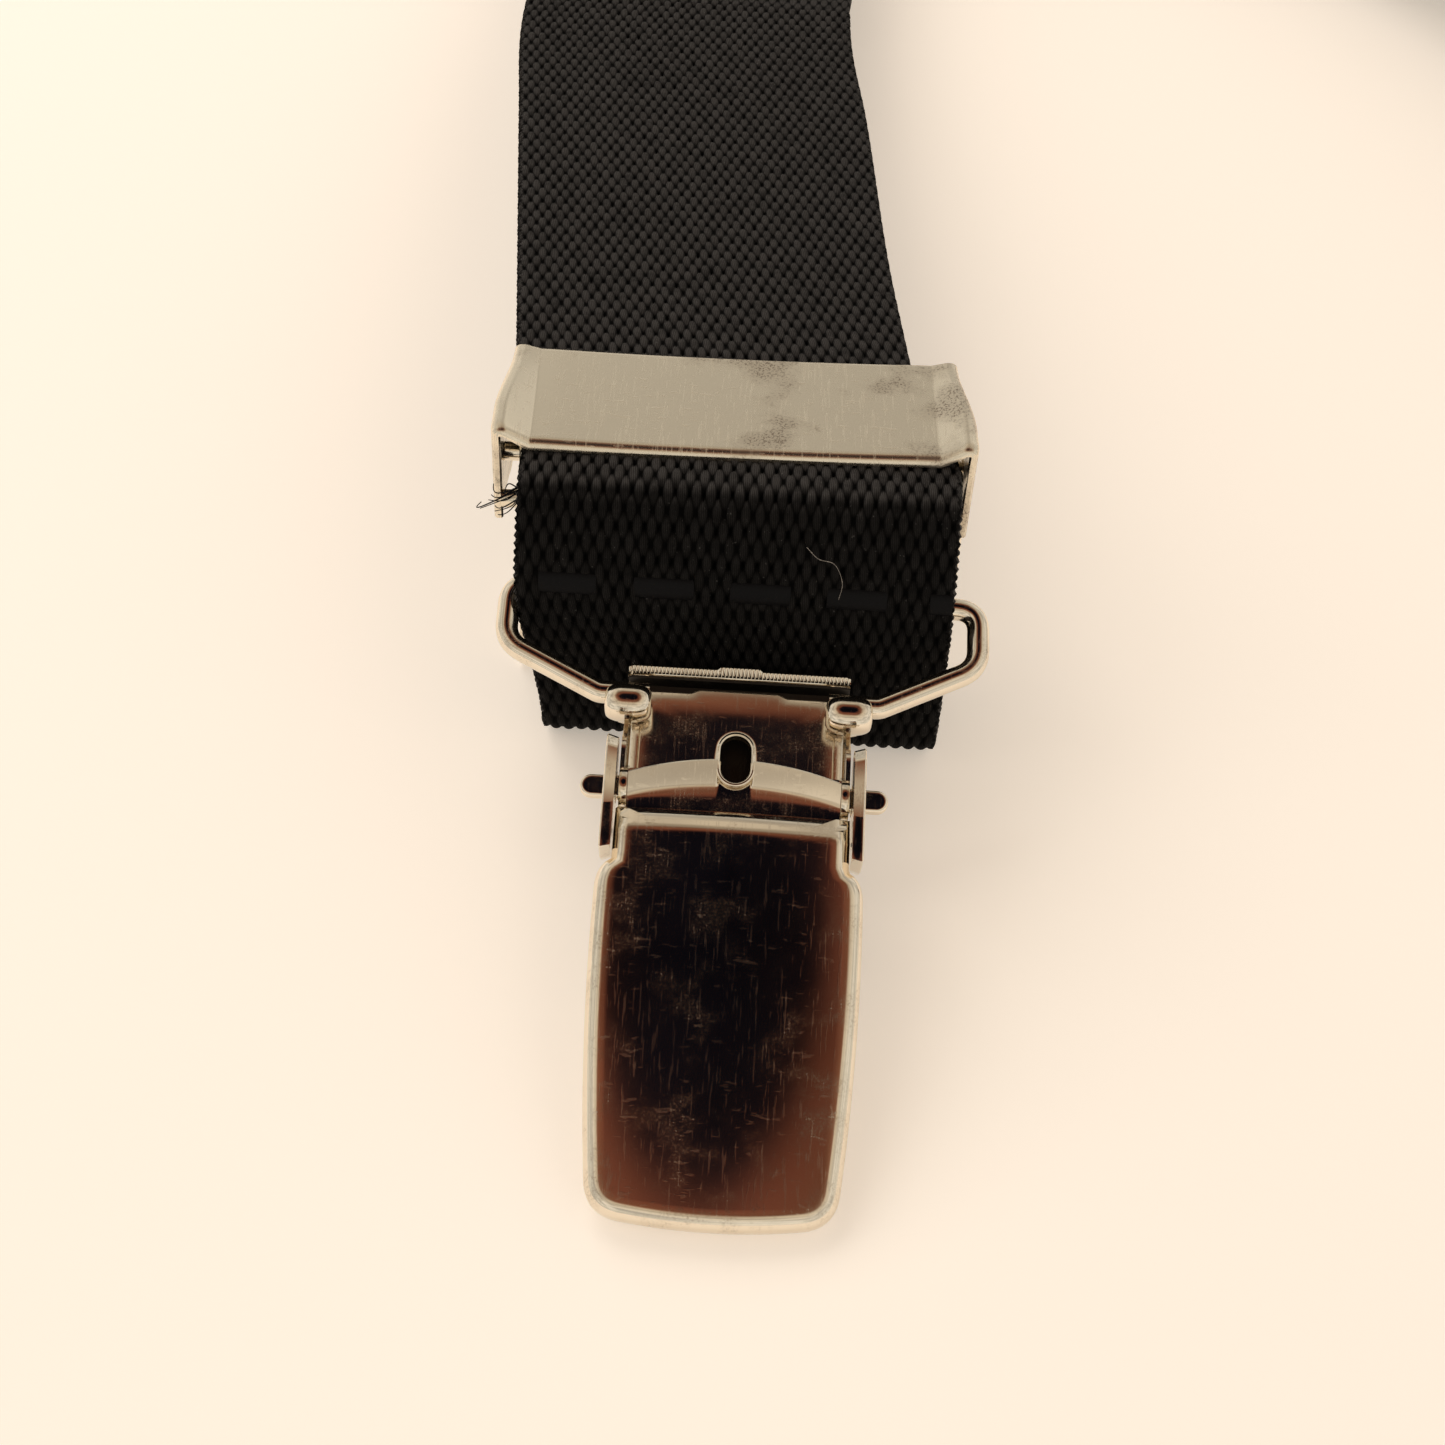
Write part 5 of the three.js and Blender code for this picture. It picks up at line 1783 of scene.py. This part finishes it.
    def build_jaw(self) -> list[bpy.types.Object]:
        """Make the rear jaw with its serrated lip.

        Returns:
            The jaw's plate and its lip.
        """
        # The jaw plate is painted dark all over: painted shade, not the plate's own nickel colour.
        plate = machined(self.body_name("clip_rear_jaw"), self.body_name("jaw_plate"), PAINTED_SHADE_NICKEL)
        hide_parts(self.body_name("clip_rear_jaw"))
        lip = make(self.body_name("jaw_lip"), self.jaw_lip(), BRIGHT_NICKEL, self.lay.clip, 40.0)
        for piece in (plate, lip):
            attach(piece, self.body_name("jaw"))
        return [plate, lip]

    def head_plate(self) -> Shell:
        """The body's upper plate, with a raised stretch of its top edge and the rimmed slot.

        Returns:
            The closed surface.
        """
        half, top = self.head_half, self.head_top
        right = [(half, -8.0 * MM), (half, top - 0.2 * MM), (half - 0.2 * MM, top)]
        right += [(3.9 * MM, top), (3.2 * MM, top + 0.32 * MM)]
        outline = np.array(right + [(-x, y) for x, y in reversed(right)])
        turns = whole_turn(120)
        slot = circle(turns) * 1.2
        slot[:, 1] += np.sign(np.sin(turns))
        centre = (0.0, -self.slot_down)
        hole = around(slot * MM + centre, centre)
        sheet = pierced(around(outline, centre), hole, -1.8 * MM, -1.2 * MM, 0.16 * MM, 0.14 * MM)
        bow = 0.30 * MM * smooth_step((sheet.points[:, 1] + 1.0 * MM) / (2.4 * MM))
        sheet.points[:, 2] -= bow
        sheet.points[:, 2] += 0.10 * MM * (1 - (sheet.points[:, 0] / half) ** 2)
        return sheet

    def knob(self, side: int) -> Shell:
        """One hook rolled round the bail wire, closed and rounded like a small barrel.

        Args:
            side: -1 for the left of the clip, 1 for its right.

        Returns:
            The closed surface.
        """
        inner, outer, power = self.knob_inner, self.hook_reach + 0.35 * MM, self.knob_square
        rings = []
        turns = whole_turn(40)
        square = 1 / np.maximum(np.abs(np.cos(turns)) ** power + np.abs(np.sin(turns)) ** power, 1e-9)
        for share in np.linspace(0, 1, 26):
            x = inner + (outer - inner) * share
            near = min(share, 1 - share) * 2
            size = self.knob_radius * (0.55 + 0.45 * math.sqrt(1 - (1 - min(1.0, near * 1.25)) ** 2))
            reach = size * square ** (1 / power)
            rings.append(sliced(x * side, circle(turns) * reach[:, None] + (-0.85 * MM, 0.1 * MM)))
        return loft(np.array(rings))

    def cheek(self, side: int) -> Shell:
        """The body's side wall, bent up from the upper plate inside the lever's ear.

        Args:
            side: -1 for the left of the clip, 1 for its right.

        Returns:
            The closed surface.
        """
        section = [(7.5, -1.85), (8.3, -1.8), (8.75, -1.45), (8.95, -0.7), (8.95, 0.9), (8.6, 0.9)]
        section += [(8.58, -0.7), (8.5, -1.2), (8.3, -1.38), (7.5, -1.42)]
        rings = []
        for y in np.linspace(-1.9, -8.2, 18):
            rise = 1.0 * float(smooth_step(np.array((-1.9 - y) / 3.0)))
            ring = [(x * MM * side, y * MM, (z - (1 - rise) * max(0.0, z + 0.9)) * MM) for x, z in section]
            rings.append(ring)
        return loft(np.array(rings))

    def tab(self, side: int) -> Shell:
        """One trunnion tab: a flat tongue with a round end, through the lever's ear.

        Args:
            side: -1 for the left of the clip, 1 for its right.

        Returns:
            The closed surface.
        """
        end = circle(np.linspace(-math.pi / 2, math.pi / 2, 24)) * 0.9 + (10.95, 0)
        outline = resampled(np.vstack([[(8.6, -0.9)], end, [(8.6, 0.9)]]) * MM, 90)
        rings = []
        steps = [(0.2, -0.42), (0.0, -0.25), (0.0, 0.22), (0.08, 0.36), (0.22, 0.42), (0.4, 0.4)]
        for inward, height in steps:
            edge = inset(outline, inward * MM) * (side, 1) - (0, self.pivot_down)
            rings.append(raised(edge, self.pivot_rise + height * MM))
        return loft(np.array(rings))

    def neck(self, side: int) -> Shell:
        """The strip that joins a hook to the upper plate, below the barrel.

        Args:
            side: -1 for the left of the clip, 1 for its right.

        Returns:
            The closed surface.
        """
        outline = [(6.9, 0.6), (9.3, 0.1), (9.9, -0.7), (9.5, -1.7), (7.9, -2.1), (6.9, -2.3)]
        rings = []
        for inward, height in ((0.0, -1.9), (0.0, -1.35), (0.12, -1.2), (1.0, -1.17)):
            edge = inset(resampled(np.array(outline) * MM, 60), inward * MM)
            rings.append(raised(edge * (side, 1), height * MM))
        return loft(np.array(rings))

    def keep_lower(self, body: bpy.types.Object) -> None:
        """Trim a copy of the whole body to what lies behind and below the upper plate.

        Args:
            body: The copy to trim.
        """
        back = self.lay.clip.inverted()
        cut = bmesh.new()
        cut.from_mesh(body.data)
        end, depth, half = -self.plate_end, -self.plate_back, self.lower_half
        planes = [((0, 1, 0), end), ((0, 0, 1), depth), ((1, 0, 0), half), ((1, 0, 0), -half)]
        for axis, height in planes:
            way = self.lay.clip.to_3x3() @ Vector(axis)
            place = self.lay.clip @ (Vector(axis) * height)
            geometry = cut.verts[:] + cut.edges[:] + cut.faces[:]
            bmesh.ops.bisect_plane(cut, geom=geometry, plane_co=place, plane_no=way)
        spare = []
        for face in cut.faces:
            middle = back @ face.calc_center_median()
            above = middle.y > end and middle.z > depth
            if above or (abs(middle.x) > half and middle.y < end):
                spare.append(face)
        bmesh.ops.delete(cut, geom=spare, context="FACES")
        cut.to_mesh(body.data)
        cut.free()

    def build_body(self) -> list[bpy.types.Object]:
        """Make the body with its upper plate and hooks, and the pieces fixed to it.

        Returns:
            The body's pieces, the trimmed plate first.
        """
        parts = [
            ("clip_body", "body_plate", BRIGHT_NICKEL),
            ("clip_grip_pad", "soft_pad", GRIP_RUBBER),
            ("clip_jaw_pin", "hinge_pin", SATIN_NICKEL),
            ("clip_spring", "leaf_spring", SPRING_STEEL),
        ]
        made = []
        for node, name, finish in parts:
            piece = machined(self.body_name(node), self.body_name(name), finish)
            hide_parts(self.body_name(node))
            made.append(piece)
        self.keep_lower(made[0])
        place = self.lay.clip
        made.append(make(self.body_name("head_plate"), self.head_plate(), HEAD_NICKEL, place))
        shapes = {"knob": self.knob, "knob_neck": self.neck, "cheek": self.cheek, "tab": self.tab}
        for side, mark in ((-1, "a"), (1, "b")):
            for part, shape in shapes.items():
                made.append(make(self.body_name(f"{part}_{mark}"), shape(side), BRIGHT_NICKEL, place))
        for piece in made:
            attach(piece, self.body_name("clip"))
        return made

    def build(self) -> list[bpy.types.Object]:
        """Make the whole clip."""
        return [self.build_bail(), *self.build_body(), *self.build_lever(), *self.build_jaw()]


# ---- adjuster -----------------------------------------------------------------------------------


@dataclass
class Adjuster:
    """Slide adjuster: troughed plate with turned-down cheeks, locking lever, rivets and tail bar."""

    strap: FrontStrap
    length: float = 14 * MM
    thickness: float = 0.7 * MM
    half_width: float = 17.95 * MM
    flare: float = 1.15 * MM
    crest: float = 1.15 * MM
    cheek: float = 7.4 * MM
    rise: float = 1.3 * MM
    bend_inset: float = 2.6 * MM
    cheek_above: float = 2.6 * MM
    trough: float = 0.22 * MM
    askew: float = math.radians(1.5)
    aside: float = 0.8 * MM
    drawn_in: float = 0.955

    def solid_place(self) -> Matrix:
        """Frame of the solid adjuster: its lower edge's middle on the strap, +y up the strap.

        Returns:
            The frame.
        """
        y, z = self.strap.adjuster
        lay = self.strap.lay
        share = (self.length / 2) / (self.strap.stack_start - y)
        shift = -lay.side.sign * self.strap.lean * share
        local = Matrix.Translation((shift, y, z)) @ Matrix.Rotation(-self.strap.slope, 4, "X")
        return lay.table @ local

    def place(self) -> Matrix:
        """Frame of the visible plate, which sits a little askew on its strap.

        Returns:
            The frame.
        """
        sign = self.strap.lay.side.sign
        shift = Matrix.Translation((-self.aside * sign, 0, 0))
        return self.solid_place() @ shift @ Matrix.Rotation(self.askew * sign, 4, "Z")

    def section(self, share: float) -> np.ndarray:
        """Middle line of the sheet at a share of the plate's length from its lower edge.

        Args:
            share: Share of the plate's length, 0 at its lower edge.

        Returns:
            Points as (x, z), from left to right.
        """
        curl = 0.25 + 0.75 * float(smooth_step(np.array((1.0 - share) / 0.75)))
        curl *= 1 - 0.12 * float(smooth_step(np.array((0.08 - share) / 0.08)))
        reach = self.half_width + self.flare * curl
        crest = self.crest * curl
        low = -self.cheek + (self.cheek - self.cheek_above) * max(0.0, (share - 0.5) / 0.5)
        roll = 0.35 * MM * float(smooth_step(np.array((0.05 - share) / 0.07)))
        roll += 0.2 * MM * float(smooth_step(np.array((share - 0.97) / 0.05)))
        flat = self.half_width - self.bend_inset
        xs = np.linspace(0, flat, 12)
        dip = -self.trough * (1 - (xs / flat) ** 2)
        start = [(x, d - roll) for x, d in zip(xs, dip)]
        corners = [
            (flat, 0.0),
            (flat + 1.1 * MM, 0.0),
            (reach - 0.55 * MM, crest),
            (reach + 0.05 * MM, crest * 0.92),
            (reach + 0.02 * MM, -0.8 * MM),
            (reach, low),
        ]
        bends = filleted(corners, [0.9 * MM, 0.5 * MM, 0.35 * MM, 0.6 * MM], 9)
        bends[:, 1] -= roll * np.clip((reach - bends[:, 0]) / (2 * MM), 0, 1)
        half = np.vstack([start, bends[1:]])
        left = half[:0:-1] * (-1, 1)
        return np.vstack([left, half])

    def plate(self) -> Shell:
        """The plate's sheet, skinned along its length.

        Returns:
            The closed surface.
        """
        shares = np.concatenate(
            [np.linspace(0, 0.08, 6), np.linspace(0.12, 0.94, 22), np.linspace(0.96, 1, 5)]
        )
        rings = []
        for share in shares:
            middle = self.section(float(share))
            ahead = unit(np.gradient(middle, axis=0))
            normal = np.stack([-ahead[:, 1], ahead[:, 0]], axis=1)
            thin = self.thickness / 2 * (0.55 if share in (0.0, 1.0) else 1.0)
            outer = middle + normal * thin
            inner = middle - normal * thin
            ring = np.vstack([outer, inner[::-1]])
            y = np.full((len(ring), 1), share * self.length + 0.5 * MM * (1 - share))
            rings.append(np.hstack([ring[:, :1], y, ring[:, 1:] + self.rise]))
        return loft(np.array(rings))

    def build(self) -> list[bpy.types.Object]:
        """Make the adjuster's pieces and put them on their bodies.

        Returns:
            The adjuster's pieces, the plate first.
        """
        prefix = self.strap.lay.side.prefix
        plate = make(f"{prefix}_adjuster_face", self.plate(), SATIN_NICKEL, self.place(), 50.0)
        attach(plate, f"{prefix}_adjuster")
        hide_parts(f"{prefix}_adjuster_plate")
        made = [plate]
        for part, name, body, finish in (
            ("adjuster_rivet_a", "rivet_near", "adjuster", BRIGHT_NICKEL),
            ("adjuster_rivet_b", "rivet_far", "adjuster", BRIGHT_NICKEL),
            ("adjuster_tail_bar", "tail_rod", "adjuster", SATIN_NICKEL),
            ("adjuster_lock_lever", "lock_plate", "lock", BRIGHT_NICKEL),
        ):
            piece = machined(f"{prefix}_{part}", f"{prefix}_{name}", finish, 0.15 * MM)
            if body == "adjuster":
                drawn = Matrix.Diagonal((self.drawn_in, 1, 1, 1))
                piece.data.transform(self.place() @ drawn @ self.solid_place().inverted())
            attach(piece, f"{prefix}_{body}")
            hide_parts(f"{prefix}_{part}")
            made.append(piece)
        return made


# ---- studio -------------------------------------------------------------------------------------


@dataclass
class Studio:
    """Cream table, soft surrounding light with a dark ceiling, soft lamps and the camera."""

    lay: Lay
    elevation: float = math.radians(50)
    roll: float = math.radians(3.4)
    lens: float = 53.8
    stand_back: float = 111.2 * MM
    stand_high: float = 141 * MM
    stand_aside: float = -1.2 * MM
    sky: float = 0.62
    dark_half_width: float = 0.26
    dark_half_depth: float = 0.31
    table_half: float = 2.5

    def build_table(self) -> bpy.types.Object:
        """Lay the cream table under the suspenders.

        Returns:
            The table top.
        """
        mesh = bpy.data.meshes.new("table_top")
        grid = bmesh.new()
        bmesh.ops.create_grid(grid, x_segments=8, y_segments=8, size=self.table_half)
        grid.to_mesh(mesh)
        grid.free()
        top = bpy.data.objects.new("table_top", mesh)
        bpy.context.scene.collection.objects.link(top)
        top.location.z = -0.05 * MM
        mesh.materials.append(CREAM_TABLE.material())
        return top

    def build_world(self) -> None:
        """Surround the table with warm white, with a dark brown-edged ceiling overhead."""
        world = bpy.data.worlds.new("studio")
        bpy.context.scene.world = world
        world.use_nodes = True
        graph = Graph(world.node_tree)
        way = graph.node("ShaderNodeTexCoord").outputs["Generated"]
        split = graph.node("ShaderNodeSeparateXYZ", {}, {0: way}).outputs
        aside, ahead, high = (Value(graph, split[index]) for index in range(3))
        warp = graph.noise(way, 3.0, 2.0)
        wide = aside * (1 / self.dark_half_width)
        deep = (ahead + 0.02) * (1 / self.dark_half_depth)
        away = (wide * wide + deep * deep) ** 0.5 + warp * 0.24 - 0.12
        distance = away * 0.25 + (0.5 - high).within(0.0, 0.5)
        stops = [
            (0.0, (0.003, 0.003, 0.006)),
            (0.20, (0.006, 0.005, 0.008)),
            (0.255, (0.20, 0.062, 0.036)),
            (0.37, (0.30, 0.12, 0.065)),
            (0.46, (0.72, 0.60, 0.45)),
            (0.80, (0.98, 0.92, 0.82)),
        ]
        shade = graph.node("ShaderNodeValToRGB", {"stops": stops}, {0: distance}).outputs[0]
        streaks = graph.noise(graph.stretched(way, (3.0, 3.0, 7.0)), 1.0, 3.0, 0.55)
        strength = 1.32 - ((ahead + 1.0) * 0.5).within(0.1, 0.85) * 0.1
        strength = strength * (streaks.within(0.34, 0.62) * 0.55 + 0.62)
        inputs = {"Color": shade, "Strength": strength * self.sky}
        light = graph.node("ShaderNodeBackground", {}, inputs)
        graph.node("ShaderNodeOutputWorld", {}, {"Surface": light.outputs[0]})

    def build_lamps(self) -> None:
        """Hang three broad soft lamps: behind, at the left and a weak one in front."""
        centre = self.lay.table.translation
        for name, offset, size, power in (
            ("back_softbox", Vector((-0.28, 0.50, 0.50)), 0.45, 1.5),
            ("left_softbox", Vector((-0.50, 0.05, 0.35)), 0.35, 0.5),
            ("front_softbox", Vector((0.35, -0.45, 0.40)), 0.30, 0.15),
        ):
            data = bpy.data.lights.new(name, "AREA")
            data.size = size
            data.energy = power
            data.color = (1.0, 0.96, 0.90)
            lamp = bpy.data.objects.new(name, data)
            bpy.context.scene.collection.objects.link(lamp)
            lamp.location = centre + offset
            lamp.visible_glossy = False
            lamp.rotation_mode = "QUATERNION"
            lamp.rotation_quaternion = offset.to_track_quat("Z", "Y")

    def build_camera(self) -> None:
        """Stand the camera before the left clip, looking down on it."""
        data = bpy.data.cameras.new("camera")
        data.lens = self.lens
        data.sensor_width = 36
        camera = bpy.data.objects.new("camera", data)
        bpy.context.scene.collection.objects.link(camera)
        forward = Vector((0, math.cos(self.elevation), -math.sin(self.elevation)))
        right = Vector((1, 0, 0))
        up = right.cross(forward)
        turned_right = right * math.cos(self.roll) + up * math.sin(self.roll)
        turned_up = up * math.cos(self.roll) - right * math.sin(self.roll)
        matrix = Matrix((turned_right, turned_up, -forward)).transposed().to_4x4()
        foot = self.lay.table.translation
        matrix.translation = foot + Vector((self.stand_aside, -self.stand_back, self.stand_high))
        camera.matrix_world = matrix
        bpy.context.scene.camera = camera

    def build(self) -> None:
        """Set the whole studio up."""
        self.build_table()
        self.build_world()
        self.build_lamps()
        self.build_camera()
        bpy.context.scene.view_settings.view_transform = "Standard"


def main() -> None:
    """Build the suspenders and the studio."""
    logging.basicConfig(level=logging.INFO, format="%(message)s")
    lays = {side: Lay(side) for side in Side}
    built: list[bpy.types.Object] = []
    for side in (Side.LEFT, Side.RIGHT):
        strap = FrontStrap(lays[side])
        built += [strap.build(), strap.build_dashes(), strap.build_tail()]
        if side is Side.LEFT:
            built += strap.build_fibres()
        built += Adjuster(strap).build()
    patch = Patch()
    built += patch.build()
    built.append(BackStrap(lays[Side.BACK]).build(patch.place()))
    for side in Side:
        built += Clip(lays[side]).build()
    for piece in built:
        LOG.info("%s: %d faces", piece.name, len(piece.data.polygons))
    Studio(lays[Side.LEFT]).build()
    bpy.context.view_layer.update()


if __name__ == "__main__":
    main()
